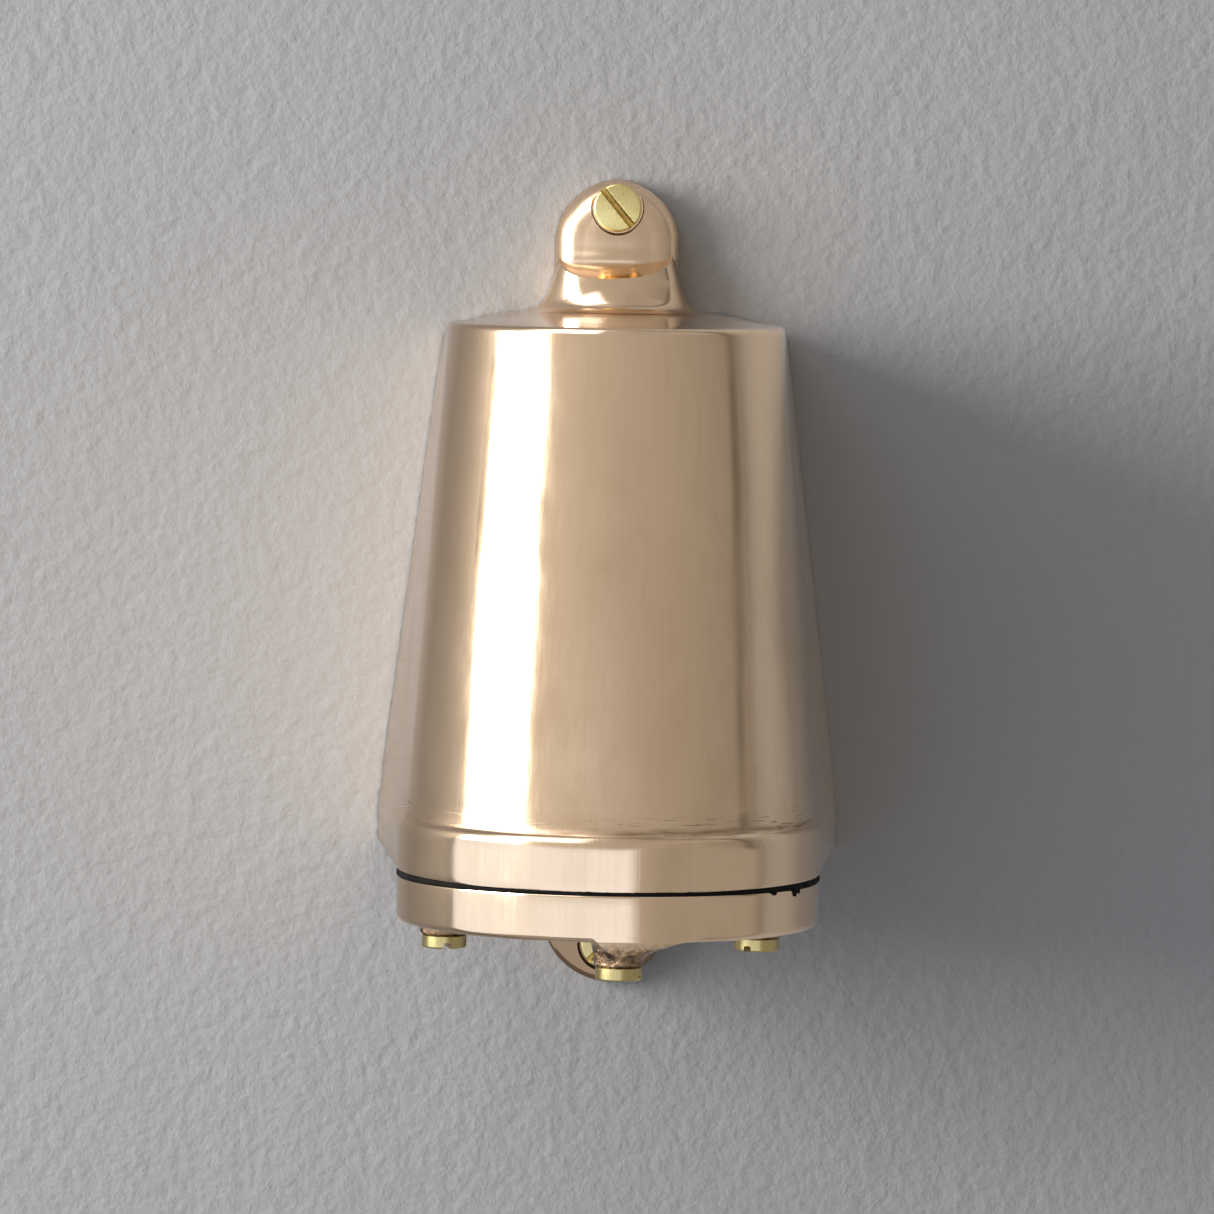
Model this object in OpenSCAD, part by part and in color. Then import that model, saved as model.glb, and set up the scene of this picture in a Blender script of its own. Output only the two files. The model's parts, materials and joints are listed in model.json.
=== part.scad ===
// Ship's wall light in cast bronze: a bell-shaped housing that hangs on a wall by two lugs,
// with a lamp inside and a screwed lens bezel underneath.
// The wall is the plane y = 0 and the light stands out from it towards -Y. +Z is up and +X is
// to the right of someone who faces the wall. The origin is midway between the wall screws.

/* [Wall fixing] */
// Distance between the upper and the lower wall screw
wall_screw_pitch = 146; // [146:1:149]
// Diameter of the wall screws' plain shanks
wall_shank_d = 5; // [4.5:0.1:5.2]
// How far each wall screw reaches behind the wall plane
wall_screw_reach = 30; // [20:5:50]
// Diameter of the wall screws' heads
wall_head_d = 9.5; // [9:0.1:10.5]
// Height of the wall screws' heads
wall_head_h = 3; // [2.5:0.1:3.5]

/* [Lugs] */
// Radius of both lugs' round ends
lug_r = 12.2; // [11.8:0.1:12.4]
// Thickness of the upper lug, from the wall to its face
upper_lug_t = 9.6; // [9:0.1:10.5]
// Thickness of the lower lug
lower_lug_t = 4.6; // [4.4:0.1:5.5]
// Height of the upper wall screw above the centre of its lug's round end
upper_screw_rise = 6.6; // [5:0.1:7]
// Depth of the seat that each wall screw's head sinks into
head_seat = 2.2; // [1.5:0.1:2.6]

/* [Bell] */
// Distance of the bell's upright axis from the wall
axis_depth = 55; // [54:0.5:57]
// Height of the top rim above the origin
rim_z = 51; // [50.5:0.5:52]
// Rise of the crowned top above the rim, at the neck
crown_h = 1.5; // [0.5:0.1:2]
// Radius of the bell at the top rim
top_r = 31.9; // [31.5:0.1:33]
// Half width at the wall, level with the top rim
top_half_w = 33.8; // [33:0.1:36]
// Radius of the bell where it meets the flange
base_r = 39.2; // [38.5:0.1:39.8]
// Half width at the wall where the bell meets the flange
base_half_w = 45.4; // [43:0.1:45.5]
// Thickness of the bell's wall
wall_t = 4.2; // [3.5:0.1:4.5]
// Thickness of the flat back against the wall
back_t = 5; // [4.5:0.1:5.5]

/* [Flange and bezel] */
// Height of the flange's lower face
flange_z = -53.3; // [-54:0.1:-53]
// Height of the flange band
flange_h = 9.8; // [8:0.1:11]
// Radius of the flange
flange_r = 40.5; // [40.4:0.1:41.5]
// Half width of the flange at the wall
flange_half_w = 45.6; // [45.5:0.1:46.5]
// Thickness of the gasket between flange and bezel
gasket_t = 1.2; // [1:0.1:1.6]
// Radius of the bezel
bezel_r = 40.3; // [40.2:0.1:40.5]
// Height of the bezel ring without its bosses
bezel_h = 8.5; // [8.3:0.1:9.5]
// How far the screw bosses stand out under the bezel
boss_drop = 4.6; // [3:0.1:6]
// Diameter of the screw bosses
boss_d = 9.4; // [9.2:0.1:10]
// Distance of the bezel screws from the bell's axis
bezel_screw_r = 35.1; // [35:0.1:35.3]
// Turn of the three bezel screws from square to the wall
bezel_turn = 3.3; // [0:0.1:6]
// Diameter of the bezel screws' shanks
bezel_shank_d = 5; // [4.5:0.1:5]
// Diameter of the bezel screws' heads
bezel_head_d = 8.7; // [8.4:0.1:9]
// Height of the bezel screws' heads
bezel_head_h = 2.75; // [2.5:0.05:3.2]

/* [Lens] */
// Radius of the round window in the bezel
window_r = 26.5; // [24:0.5:27]
// Radius of the lens glass
lens_r = 30.2; // [29.8:0.1:30.3]
// Thickness of the lens glass
lens_t = 3.3; // [3:0.1:3.3]

/* [Lamp] */
// Radius of the lamp's round bulb
bulb_r = 22.5; // [20:0.5:22.5]
// Length of the lamp from its contact to the end of its bulb
lamp_length = 76; // [74:0.5:76]
// Outer radius of the lamp cap's thread
cap_r = 6.9; // [6.8:0.05:6.9]

/* [Wiring] */
// Diameter of the bore that the supply cable comes in by
cable_bore_d = 8; // [6:0.5:9]
// Height of the cable entry above the origin
cable_z = -16; // [-20:1:-12]
// Diameter of the insulated leads
lead_d = 2.4; // [2:0.1:2.6]
// Distance between the poles of the terminal block
pole_pitch = 10; // [9:0.5:10]

/* [Hidden] */

$fn = 96;
GAP = 0.05;                 // between faces of pieces that turn or slide on each other
LOOSE = 0.3;                // between a screw's shank and a hole it only passes through
THREAD_FIT = 0.06;          // between a shank and the tapped hole that it turns in
BRONZE = [0.78, 0.66, 0.53];
BRASS = [0.84, 0.76, 0.42];
RUBBER = [0.06, 0.06, 0.07];
PHENOLIC = [0.1, 0.09, 0.08];
STEEL = [0.7, 0.71, 0.73];
PORCELAIN = [0.92, 0.91, 0.88];

half_pitch = wall_screw_pitch / 2;
flange_top_z = flange_z + flange_h;
upper_lug_z = half_pitch - upper_screw_rise;
lower_lug_z = -half_pitch + 4.7;
lug_edge = 1.6;             // bevel round the front edge of a lug
neck_r = 12.4;
neck_foot_r = 14.8;
neck_top_z = rim_z + 8.6;
neck_flare_r = 24;
crown_depth = 22;
crown_r = 26;
web_lean = 7;               // how far the web's sides turn in, away from the wall
web_taper_angle = atan((base_half_w - top_half_w) / (rim_z - flange_top_z));
taper = (base_r - top_r) / (rim_z - flange_top_z);
chamber_top_z = rim_z - 5;
chamber_top_r = top_r + 5 * taper - wall_t;
chamber_rim_z = flange_z + 4;
chamber_rim_r = base_r - wall_t + 0.4;
mouth_r = 31;
socket_boss_r = 5.2;        // inside the housing, round each tapped hole for a bezel screw
socket_boss_h = 15;
tapped_depth = 13;
wiring_half_w = 22;
wiring_floor_z = flange_z + 5;
wiring_top_z = 41;
seat_r = wall_head_d / 2 + 0.45;
wall_hole_r = wall_shank_d / 2 + LOOSE;
wall_thread_r = wall_shank_d / 2 - 0.1;
slot_w = 1.2;
slot_deep = 1.3;

bezel_top_z = flange_z - gasket_t;
bezel_bottom_z = bezel_top_z - bezel_h;
boss_z = bezel_bottom_z - boss_drop;
bezel_edge = 1.8;           // rounding of the bezel's lower edge
lip_z = bezel_bottom_z + 2.8;
recess_r = lens_r + 0.3;
seal_t = 1;
seal_in_r = window_r + 0.6;
lens_z = lip_z + seal_t;
ring_z = lens_z + lens_t;
ring_t = 1.2;
bezel_shank_top_z = flange_z + 11.5;
screw_angles = [-90 + bezel_turn, 150 + bezel_turn, 30 + bezel_turn];

pillar_x = 18;
pillar_r = 4;
pillar_z = 38;
bracket_t = 2;
bracket_w = 14;
bracket_z = pillar_z - bracket_t;
holder_r = 13.4;
holder_z = 6;
socket_r = cap_r + 0.9;
socket_top_z = 30.5;
shell_z = 9;
shell_h = 19;
contact_t = 0.8;
lamp_top_z = socket_top_z - contact_t - 0.3;
tip_h = 1.5;
tip_r = 2.4;
insulator_h = 2.4;
cap_z = 6.2;
cap_top_z = lamp_top_z - tip_h - insulator_h;
bulb_z = lamp_top_z - lamp_length + bulb_r;
bulb_neck_r = 6.2;
bulb_wall = 1;

grommet_hole_r = 8;
grommet_lip_r = 10.5;
grommet_lip_t = 2;
block_z = 2;
block_h = 16;
block_t = 11;
block_w = 3 * pole_pitch;
block_front = back_t + block_t;
pole_x = [-pole_pitch, 0, pole_pitch];
pole_screw_r = 1.9;
fixing_r = 1.5;
fixing_head_r = 2.6;
earth_x = 12;
earth_z = 35;
earth_shank_r = 2;
tag_t = 0.8;
lead_end_z = 31;
holder_back = axis_depth - holder_r;
terminal_t = 4;

// Routes of the leads, as [x, depth, z] in millimetres from a pole to its far terminal
live_route = [
  [-10, 11, 18], [-10, 11, 21], [-10, 11.5, 24], [-9.5, 13, 27], [-9, 16, 29.6], [-8, 20, 31],
  [-7, 25, 31.4], [-6, 30, 31.2], [-6, 34, 31], [-6, 37.6, 31]
];
neutral_route = [
  [0, 11, 18], [0, 11, 21], [0, 11.5, 24], [0.5, 13, 27], [1.5, 16, 29.6], [3, 20, 31],
  [4.5, 25, 31.4], [6, 30, 31.2], [6, 34, 31], [6, 37.6, 31]
];
earth_route = [
  [10, 11, 18], [10, 11, 20.5], [10.3, 10.4, 23], [11.2, 8.6, 24.8], [11.9, 7.6, 26.4], [12, 7.4, 27.4],
  [12, 7.4, 28.6]
];

// ---- Shared shapes ----

// Moves a shape so that its local z axis points out of the wall and its origin is at height z
module facing_out(z, x = 0, depth = 0)
  translate([x, -depth, z])
    rotate([90, 0, 0])
      children();

// Puts a shape on the bell's upright axis
module on_axis(z = 0)
  translate([0, -axis_depth, z])
    children();

// A lug with a round end and a bevelled front edge. Its straight sides run away from the end.
module lug(z, thickness, straight, up) {
  half_profile = [
    [0, 0], [lug_r, 0], [lug_r, thickness - lug_edge], [lug_r - lug_edge, thickness],
    [0, thickness]
  ];
  facing_out(z)
    rotate_extrude()
      polygon(half_profile);
  translate([0, 0, up ? z : z - straight])
    linear_extrude(straight)
      polygon([
        [-lug_r, 0], [lug_r, 0], [lug_r, lug_edge - thickness], [lug_r - lug_edge, -thickness],
        [lug_edge - lug_r, -thickness], [-lug_r, lug_edge - thickness]
      ]);
}

// A slotted screw along +z: head below z = 0 with rounded rim, shank above it
module slotted_screw(head_r, head_h, shank_r, shank_h, slot, slot_angle) {
  rim = head_h * 0.3;
  difference() {
    rotate_extrude()
      polygon([
        [0, shank_h], [shank_r - 0.4, shank_h], [shank_r, shank_h - 0.6], [shank_r, 0],
        [head_r, 0], [head_r, rim - head_h], [head_r - rim, -head_h], [0, -head_h]
      ]);
    rotate([0, 0, slot_angle])
      translate([-head_r - 1, -slot / 2, -head_h - 1])
        cube([2 * head_r + 2, slot, slot_deep + 1]);
  }
}

// A tube swept along a route by rings of points, each square to the route
function unit(v) = v / norm(v);
function heading(route, i) =
  unit(route[min(i + 1, len(route) - 1)] - route[max(i - 1, 0)]);
function ring_points(centre, along, r, sides) =
  let (side = unit(cross(along, [1, 0.1, 0])), up = cross(side, along))
  [for (k = [0 : sides - 1])
    centre + r * cos(360 * k / sides) * side + r * sin(360 * k / sides) * up];

module swept_lead(route) {
  sides = 10;
  path = [for (p = route) [p[0], -p[1], p[2]]];
  last = len(path) - 1;
  points = [
    for (i = [0 : last])
      each ring_points(path[i], heading(path, i), lead_d / 2, sides)
  ];
  walls = [
    for (i = [0 : last - 1], k = [0 : sides - 1])
      let (a = i * sides + k, b = i * sides + (k + 1) % sides)
      [a, a + sides, b + sides, b]
  ];
  start_cap = [for (k = [0 : sides - 1]) k];
  end_cap = [for (k = [0 : sides - 1]) last * sides + sides - 1 - k];
  polyhedron(points, concat(walls, [start_cap, end_cap]));
}

// ---- Housing ----

// The side of a leaning plane that faces the bell, through an upright line on the wall
module inside_of_web_side()
  translate([base_half_w, 0, flange_top_z])
    rotate([0, -web_taper_angle, 0])
      rotate([0, 0, -web_lean])
        translate([-200, -150, -50])
          cube([200, 200, 200]);

// Solid behind the round bell, which carries it back to the wall
module web()
  intersection() {
    translate([-base_half_w, -axis_depth + 4, flange_top_z - 2])
      cube([2 * base_half_w, axis_depth - 4, rim_z - flange_top_z + 2]);
    inside_of_web_side();
    mirror([1, 0, 0])
      inside_of_web_side();
  }

// Low cone that the neck stands on
module crown()
  intersection() {
    translate([0, -crown_depth, rim_z - 1])
      cylinder(r1 = crown_r + 4, r2 = crown_r - 12, h = crown_h + 1);
    translate([-100, -100, 0])
      cube([200, 100, 100]);
  }

module flange() {
  corner_x = flange_half_w - (axis_depth - 4) * tan(web_lean);
  translate([0, 0, flange_z])
    linear_extrude(flange_h)
      union() {
        translate([0, -axis_depth])
          circle(r = flange_r);
        polygon([
          [-flange_half_w, 0], [flange_half_w, 0], [corner_x, 4 - axis_depth],
          [-corner_x, 4 - axis_depth]
        ]);
      }
}

module bell_skin() {
  on_axis(flange_top_z - 2)
    cylinder(r1 = base_r + 2 * taper, r2 = top_r, h = rim_z - flange_top_z + 2);
  web();
  crown();
  flange();
}

// Half-round column that carries the upper lug and flares into the crowned top
module neck()
  rotate([0, 0, 180])
    rotate_extrude(angle = 180)
      polygon([
        [0, rim_z - 2], [neck_flare_r, rim_z - 2], [neck_flare_r, rim_z + 0.9],
        [neck_flare_r - 4, rim_z + 1.4], [neck_foot_r + 2, rim_z + 1.9],
        [neck_foot_r, rim_z + 2.9], [neck_foot_r - 1, rim_z + 4.6],
        [neck_r, neck_top_z], [upper_lug_t - 0.4, neck_top_z + 2.4], [0, neck_top_z + 2.4]
      ]);

// Space inside the bell for the lamp, with bosses left standing for the bezel screws
module lamp_chamber()
  difference() {
    on_axis()
      rotate_extrude()
        polygon([
          [0, flange_z - 1], [mouth_r, flange_z - 1], [mouth_r, chamber_rim_z],
          [chamber_rim_r, chamber_rim_z + 3], [chamber_top_r, chamber_top_z],
          [0, chamber_top_z]
        ]);
    for (a = screw_angles)
      on_axis()
        rotate([0, 0, a])
          translate([bezel_screw_r, 0, flange_z - 2])
            cylinder(r = socket_boss_r, h = socket_boss_h + 2);
    for (side = [-1, 1])
      on_axis()
        translate([side * pillar_x, 0, pillar_z])
          cylinder(r = pillar_r, h = 20);
  }

// Space behind the lamp for the terminals and leads
module wiring_chamber()
  translate([-wiring_half_w, -axis_depth + 8, wiring_floor_z])
    cube([2 * wiring_half_w, axis_depth - 8 - back_t, wiring_top_z - wiring_floor_z]);

module wall_screw_hole(z, thickness)
  facing_out(z) {
    translate([0, 0, -1])
      cylinder(r = wall_hole_r, h = thickness + 2);
    translate([0, 0, thickness - head_seat])
      cylinder(r = seat_r, h = head_seat + 4);
  }

module housing()
  color(BRONZE)
    difference() {
      union() {
        difference() {
          bell_skin();
          lamp_chamber();
          wiring_chamber();
        }
        neck();
        lug(upper_lug_z, upper_lug_t, upper_lug_z - neck_top_z - 1.5, false);
        lug(lower_lug_z, lower_lug_t, flange_z + 3 - lower_lug_z, true);
      }
      wall_screw_hole(half_pitch, upper_lug_t);
      wall_screw_hole(-half_pitch, lower_lug_t);
      for (a = screw_angles)
        on_axis()
          rotate([0, 0, a])
            translate([bezel_screw_r, 0, flange_z - 1])
              cylinder(r = bezel_shank_d / 2 + THREAD_FIT, h = tapped_depth + 1);
      for (side = [-1, 1])
        on_axis()
          translate([side * pillar_x, 0, pillar_z - 1])
            cylinder(r = fixing_r + THREAD_FIT, h = 8);
      facing_out(cable_z)
        translate([0, 0, -1])
          cylinder(r = grommet_hole_r, h = back_t + 2);
      for (side = [-1, 1])
        facing_out(block_z + block_h / 2, side * pole_pitch / 2, 1.5)
          cylinder(r = fixing_r + THREAD_FIT, h = back_t);
      facing_out(earth_z, earth_x, 1)
        cylinder(r = earth_shank_r + THREAD_FIT, h = back_t);
    }

// ---- Wall screws, gasket and bezel ----

module wall_screw(z, lug_t, slot_angle) {
  grip = lug_t - head_seat;
  color(BRASS)
    facing_out(z)
      mirror([0, 0, 1]) {
        translate([0, 0, -grip])
          slotted_screw(wall_head_d / 2, wall_head_h, wall_shank_d / 2, grip, slot_w, slot_angle);
        cylinder(r = wall_thread_r, h = wall_screw_reach - 4);
        translate([0, 0, wall_screw_reach - 4])
          cylinder(r1 = wall_thread_r, r2 = 0.6, h = 4);
      }
}

module upper_wall_screw()
  wall_screw(half_pitch, upper_lug_t, -50);

module lower_wall_screw()
  wall_screw(-half_pitch, lower_lug_t, 45);

module screw_passages(hole_r, from_z, to_z)
  for (a = screw_angles)
    on_axis()
      rotate([0, 0, a])
        translate([bezel_screw_r, 0, from_z])
          cylinder(r = hole_r, h = to_z - from_z);

module flange_gasket()
  color(RUBBER)
    difference() {
      on_axis(bezel_top_z)
        cylinder(r = bezel_r + 0.3, h = gasket_t);
      on_axis(bezel_top_z - 1)
        cylinder(r = mouth_r, h = gasket_t + 2);
      screw_passages(bezel_shank_d / 2 + LOOSE, bezel_top_z - 1, flange_z + 1);
    }

// Screw boss with a cast flare at its root, kept inside the bezel's rim
module bezel_boss(angle, flare_r)
  intersection() {
    on_axis()
      rotate([0, 0, angle])
        translate([bezel_screw_r, 0, boss_z])
          rotate_extrude()
            polygon([
              [0, 0], [boss_d / 2, 0], [boss_d / 2, boss_drop * 0.35],
              [boss_d / 2 + 0.9, boss_drop * 0.7], [flare_r, boss_drop + 0.5],
              [flare_r, boss_drop + 1.5], [0, boss_drop + 1.5]
            ]);
    on_axis(boss_z - 1)
      cylinder(r = bezel_r - 0.4, h = boss_drop + 4);
  }

module bezel()
  color(BRONZE)
    difference() {
      union() {
        on_axis()
          rotate_extrude()
            polygon(concat(
              [[window_r, bezel_bottom_z], [window_r, bezel_top_z], [bezel_r, bezel_top_z]],
              [for (a = [0 : -22.5 : -90])
                [bezel_r - bezel_edge * (1 - cos(a)), bezel_bottom_z + bezel_edge * (1 + sin(a))]]
            ));
        bezel_boss(screw_angles[0], boss_d / 2 + 4);
        bezel_boss(screw_angles[1], boss_d / 2 + 2);
        bezel_boss(screw_angles[2], boss_d / 2 + 2);
      }
      on_axis(lip_z)
        cylinder(r = recess_r, h = bezel_h);
      on_axis(boss_z - 1)
        cylinder(r = window_r, h = boss_drop + bezel_h);
      screw_passages(bezel_shank_d / 2 + LOOSE, boss_z - 1, bezel_top_z + 1);
    }

module bezel_screw(angle, slot_angle)
  color(BRASS)
    on_axis()
      rotate([0, 0, angle])
        translate([bezel_screw_r, 0, boss_z - GAP])
          slotted_screw(
            bezel_head_d / 2, bezel_head_h, bezel_shank_d / 2, bezel_shank_top_z - boss_z,
            1.5, slot_angle
          );

module bezel_screw_front()
  bezel_screw(screw_angles[0], -8);

module bezel_screw_left()
  bezel_screw(screw_angles[1], 115);

module bezel_screw_right()
  bezel_screw(screw_angles[2], 55);

// ---- Lens ----

module lens_glass()
  color([0.85, 0.92, 0.93, 0.4])
    on_axis(lens_z)
      cylinder(r = lens_r, h = lens_t);

module flat_ring(in_r, out_r, height)
  difference() {
    cylinder(r = out_r, h = height);
    translate([0, 0, -1])
      cylinder(r = in_r, h = height + 2);
  }

module lens_seal()
  color(RUBBER)
    on_axis(lip_z)
      flat_ring(seal_in_r, lens_r, seal_t);

// Screwed ring that holds the glass down, with two notches for a key
module lens_ring()
  color(BRASS)
    on_axis(ring_z)
      difference() {
        flat_ring(window_r, lens_r, ring_t);
        translate([-lens_r, -1.5, -1])
          cube([lens_r - window_r - 1.4, 3, ring_t + 2]);
        translate([window_r + 1.4, -1.5, -1])
          cube([lens_r - window_r - 1.4, 3, ring_t + 2]);
      }

// ---- Lampholder ----

module holder_bracket()
  color(STEEL)
    difference() {
      on_axis(bracket_z)
        translate([-pillar_x - 5, -bracket_w / 2, 0])
          cube([2 * pillar_x + 10, bracket_w, bracket_t]);
      for (x = [-pillar_x, pillar_x, -7, 7])
        on_axis(bracket_z - 1)
          translate([x, 0, 0])
            cylinder(r = fixing_r + 0.2, h = bracket_t + 2);
    }

module bracket_screws()
  color(STEEL)
    for (side = [-1, 1])
      on_axis(bracket_z)
        translate([side * pillar_x, 0, 0])
          slotted_screw(fixing_head_r, 1.8, fixing_r, 7, 0.8, 30 * side);

module lampholder()
  color(PHENOLIC)
    difference() {
      on_axis()
        rotate_extrude()
          polygon([
            [0, holder_z], [holder_r - 1.2, holder_z], [holder_r - 1.2, holder_z + 14],
            [holder_r, holder_z + 16], [holder_r, bracket_z - 2], [holder_r - 2, bracket_z],
            [0, bracket_z]
          ]);
      on_axis(holder_z - 1)
        cylinder(r = socket_r, h = socket_top_z - holder_z + 1);
      for (side = [-1, 1])
        on_axis(bracket_z - 4)
          translate([side * 7, 0, 0])
            cylinder(r = fixing_r, h = 5);
      for (x = [live_route[9][0], neutral_route[9][0]])
        translate([x - 2.6, -holder_back - 1.8, lead_end_z - 2.1])
          cube([5.2, 6, 4.2]);
    }

module holder_screws()
  color(STEEL)
    for (side = [-1, 1])
      on_axis(pillar_z)
        translate([side * 7, 0, 0])
          mirror([0, 0, 1])
            slotted_screw(fixing_head_r, 1.8, fixing_r, bracket_t + 3.5, 0.8, 20 * side);

// Plain sleeve that the lamp cap's thread runs in
module holder_shell()
  color(BRASS)
    on_axis(shell_z)
      flat_ring(cap_r + LOOSE, socket_r, shell_h);

// Sprung tongue across the top of the socket
module holder_contact()
  color(BRASS)
    on_axis(socket_top_z - contact_t)
      translate([-2, -2.5, 0])
        cube([socket_r + 1.2, 5, contact_t]);

// One clamp for each lead, let into the back of the lampholder
module holder_terminals()
  color(BRASS)
    for (x = [live_route[9][0], neutral_route[9][0]])
      translate([x - terminal_t / 2, -holder_back - 1.6, lead_end_z - terminal_t / 2])
        cube([terminal_t, 5.6, terminal_t]);

// ---- Lamp ----

module lamp_tip()
  color(STEEL)
    on_axis(lamp_top_z - tip_h)
      cylinder(r1 = tip_r, r2 = tip_r - 0.8, h = tip_h);

module lamp_insulator()
  color(PHENOLIC)
    on_axis(cap_top_z)
      cylinder(r1 = cap_r - 1, r2 = tip_r + 0.8, h = insulator_h);

module lamp_cap()
  color(STEEL)
    on_axis(cap_z)
      difference() {
        cylinder(r = cap_r, h = cap_top_z - cap_z);
        translate([0, 0, -1])
          cylinder(r = cap_r - 0.5, h = cap_top_z - cap_z);
      }

// Hollow glass bulb: a ball with a neck that is cemented into the cap
module bulb_shape(r, neck, top_z) {
  neck_start = sqrt(r * r - neck * neck * 1.6);
  on_axis(bulb_z)
    sphere(r = r);
  on_axis()
    rotate_extrude()
      polygon([
        [0, bulb_z], [neck * 2.6, bulb_z + neck_start * 0.63], [neck * 1.5, bulb_z + neck_start],
        [neck * 1.06, bulb_z + neck_start + 6], [neck, cap_z - 1], [neck, top_z], [0, top_z]
      ]);
}

module lamp_bulb()
  color([0.95, 0.95, 0.93, 0.6])
    difference() {
      bulb_shape(bulb_r, bulb_neck_r, cap_z + 8);
      bulb_shape(bulb_r - bulb_wall, bulb_neck_r - bulb_wall, cap_z + 7);
    }

// ---- Cable entry, terminals and leads ----

module cable_grommet()
  color(RUBBER)
    facing_out(cable_z)
      difference() {
        union() {
          translate([0, 0, 0.2])
            cylinder(r = grommet_hole_r, h = back_t);
          translate([0, 0, back_t])
            cylinder(r = grommet_lip_r, h = grommet_lip_t);
        }
        translate([0, 0, -1])
          cylinder(d = cable_bore_d, h = back_t + grommet_lip_t + 2);
      }

module terminal_block()
  color(PORCELAIN)
    difference() {
      translate([-block_w / 2, -block_front, block_z])
        cube([block_w, block_t, block_h]);
      for (x = pole_x, z = [block_z + 4, block_z + block_h - 4])
        facing_out(z, x, block_front - 4)
          cylinder(r = pole_screw_r + 0.2, h = 5);
      for (x = pole_x)
        translate([x, -back_t - 6, block_z - 1])
          cylinder(r = lead_d / 2 + 0.4, h = 5);
      for (side = [-1, 1])
        facing_out(block_z + block_h / 2, side * pole_pitch / 2, back_t - 1) {
          cylinder(r = fixing_r + 0.2, h = block_t + 2);
          translate([0, 0, block_t - 2])
            cylinder(r = fixing_head_r + 0.2, h = 4);
        }
    }

module terminal_screws()
  color(BRASS)
    for (x = pole_x, z = [block_z + 4, block_z + block_h - 4])
      facing_out(z, x, block_front - 4)
        difference() {
          cylinder(r = pole_screw_r, h = 3);
          translate([-3, -0.35, 2])
            cube([6, 0.7, 2]);
        }

module block_screws()
  color(STEEL)
    for (side = [-1, 1])
      facing_out(block_z + block_h / 2, side * pole_pitch / 2, block_front - 3)
        mirror([0, 0, 1])
          slotted_screw(fixing_head_r, 1.8, fixing_r, block_t - 3 + 3.2, 0.8, 40 * side);

module earth_screw()
  color(BRASS)
    facing_out(earth_z, earth_x, back_t + tag_t)
      mirror([0, 0, 1])
        slotted_screw(3.4, 2.2, earth_shank_r, tag_t + 3.6, 0.9, 25);

// Ring tag under the earth screw, with a barrel crimped round the lead
module earth_tag()
  color(STEEL) {
    facing_out(earth_z, earth_x, back_t)
      difference() {
        union() {
          cylinder(r = 4.2, h = tag_t);
          translate([-1.6, -5.4, 0])
            cube([3.2, 5, tag_t]);
        }
        translate([0, 0, -1])
          cylinder(r = earth_shank_r + 0.2, h = tag_t + 2);
      }
    translate([earth_x, -back_t - 2.4, earth_z - 6.4])
      cylinder(r = lead_d / 2 + 0.45, h = 2.6);
    translate([earth_x - 1.6, -back_t - 2.4, earth_z - 6.4])
      cube([3.2, 2.4, 2.6]);
  }

module live_lead()
  color([0.42, 0.24, 0.14])
    swept_lead(live_route);

module neutral_lead()
  color([0.16, 0.33, 0.62])
    swept_lead(neutral_route);

module earth_lead()
  color([0.35, 0.62, 0.22])
    swept_lead(earth_route);

housing();
upper_wall_screw();
lower_wall_screw();
flange_gasket();
bezel();
bezel_screw_front();
bezel_screw_left();
bezel_screw_right();
lens_glass();
lens_seal();
lens_ring();
holder_bracket();
bracket_screws();
lampholder();
holder_screws();
holder_shell();
holder_contact();
holder_terminals();
lamp_tip();
lamp_insulator();
lamp_cap();
lamp_bulb();
cable_grommet();
terminal_block();
terminal_screws();
block_screws();
earth_screw();
earth_tag();
live_lead();
neutral_lead();
earth_lead();
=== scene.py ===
import json
import math

import bmesh
import bpy
from mathutils import Matrix, Vector, noise


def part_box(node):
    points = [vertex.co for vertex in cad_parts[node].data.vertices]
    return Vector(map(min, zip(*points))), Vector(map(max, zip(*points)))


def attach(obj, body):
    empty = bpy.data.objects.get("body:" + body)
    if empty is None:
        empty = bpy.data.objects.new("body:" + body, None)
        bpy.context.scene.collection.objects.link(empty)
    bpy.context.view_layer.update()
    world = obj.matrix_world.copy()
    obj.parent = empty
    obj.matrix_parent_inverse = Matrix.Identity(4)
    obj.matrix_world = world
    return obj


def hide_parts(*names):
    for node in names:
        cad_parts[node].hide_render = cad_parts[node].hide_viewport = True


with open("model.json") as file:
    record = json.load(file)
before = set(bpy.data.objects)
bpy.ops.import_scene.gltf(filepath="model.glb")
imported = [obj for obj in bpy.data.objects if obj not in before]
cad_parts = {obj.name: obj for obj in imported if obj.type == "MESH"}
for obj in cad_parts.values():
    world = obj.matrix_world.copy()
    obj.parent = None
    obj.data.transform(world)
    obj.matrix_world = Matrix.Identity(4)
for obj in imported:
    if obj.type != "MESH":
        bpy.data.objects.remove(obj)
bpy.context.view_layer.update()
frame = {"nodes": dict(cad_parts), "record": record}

# Cast bronze ship's wall light. The wall is the plane y = 0, the light stands out along -Y.
# Shapes are worked out in millimetres and turned into metres when a mesh is made.
MM = 0.001

# ---- sizes from the frame


def box_mm(node):
    """Lowest and highest corner of a CAD node, in millimetres."""
    low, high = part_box(node)
    return Vector(low) / MM, Vector(high) / MM


def middle_mm(node):
    low, high = box_mm(node)
    return (low + high) / 2


def round_mm(node):
    """Radius, lowest z and highest z of a round CAD node."""
    low, high = box_mm(node)
    return (high.x - low.x) / 2, low.z, high.z


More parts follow.
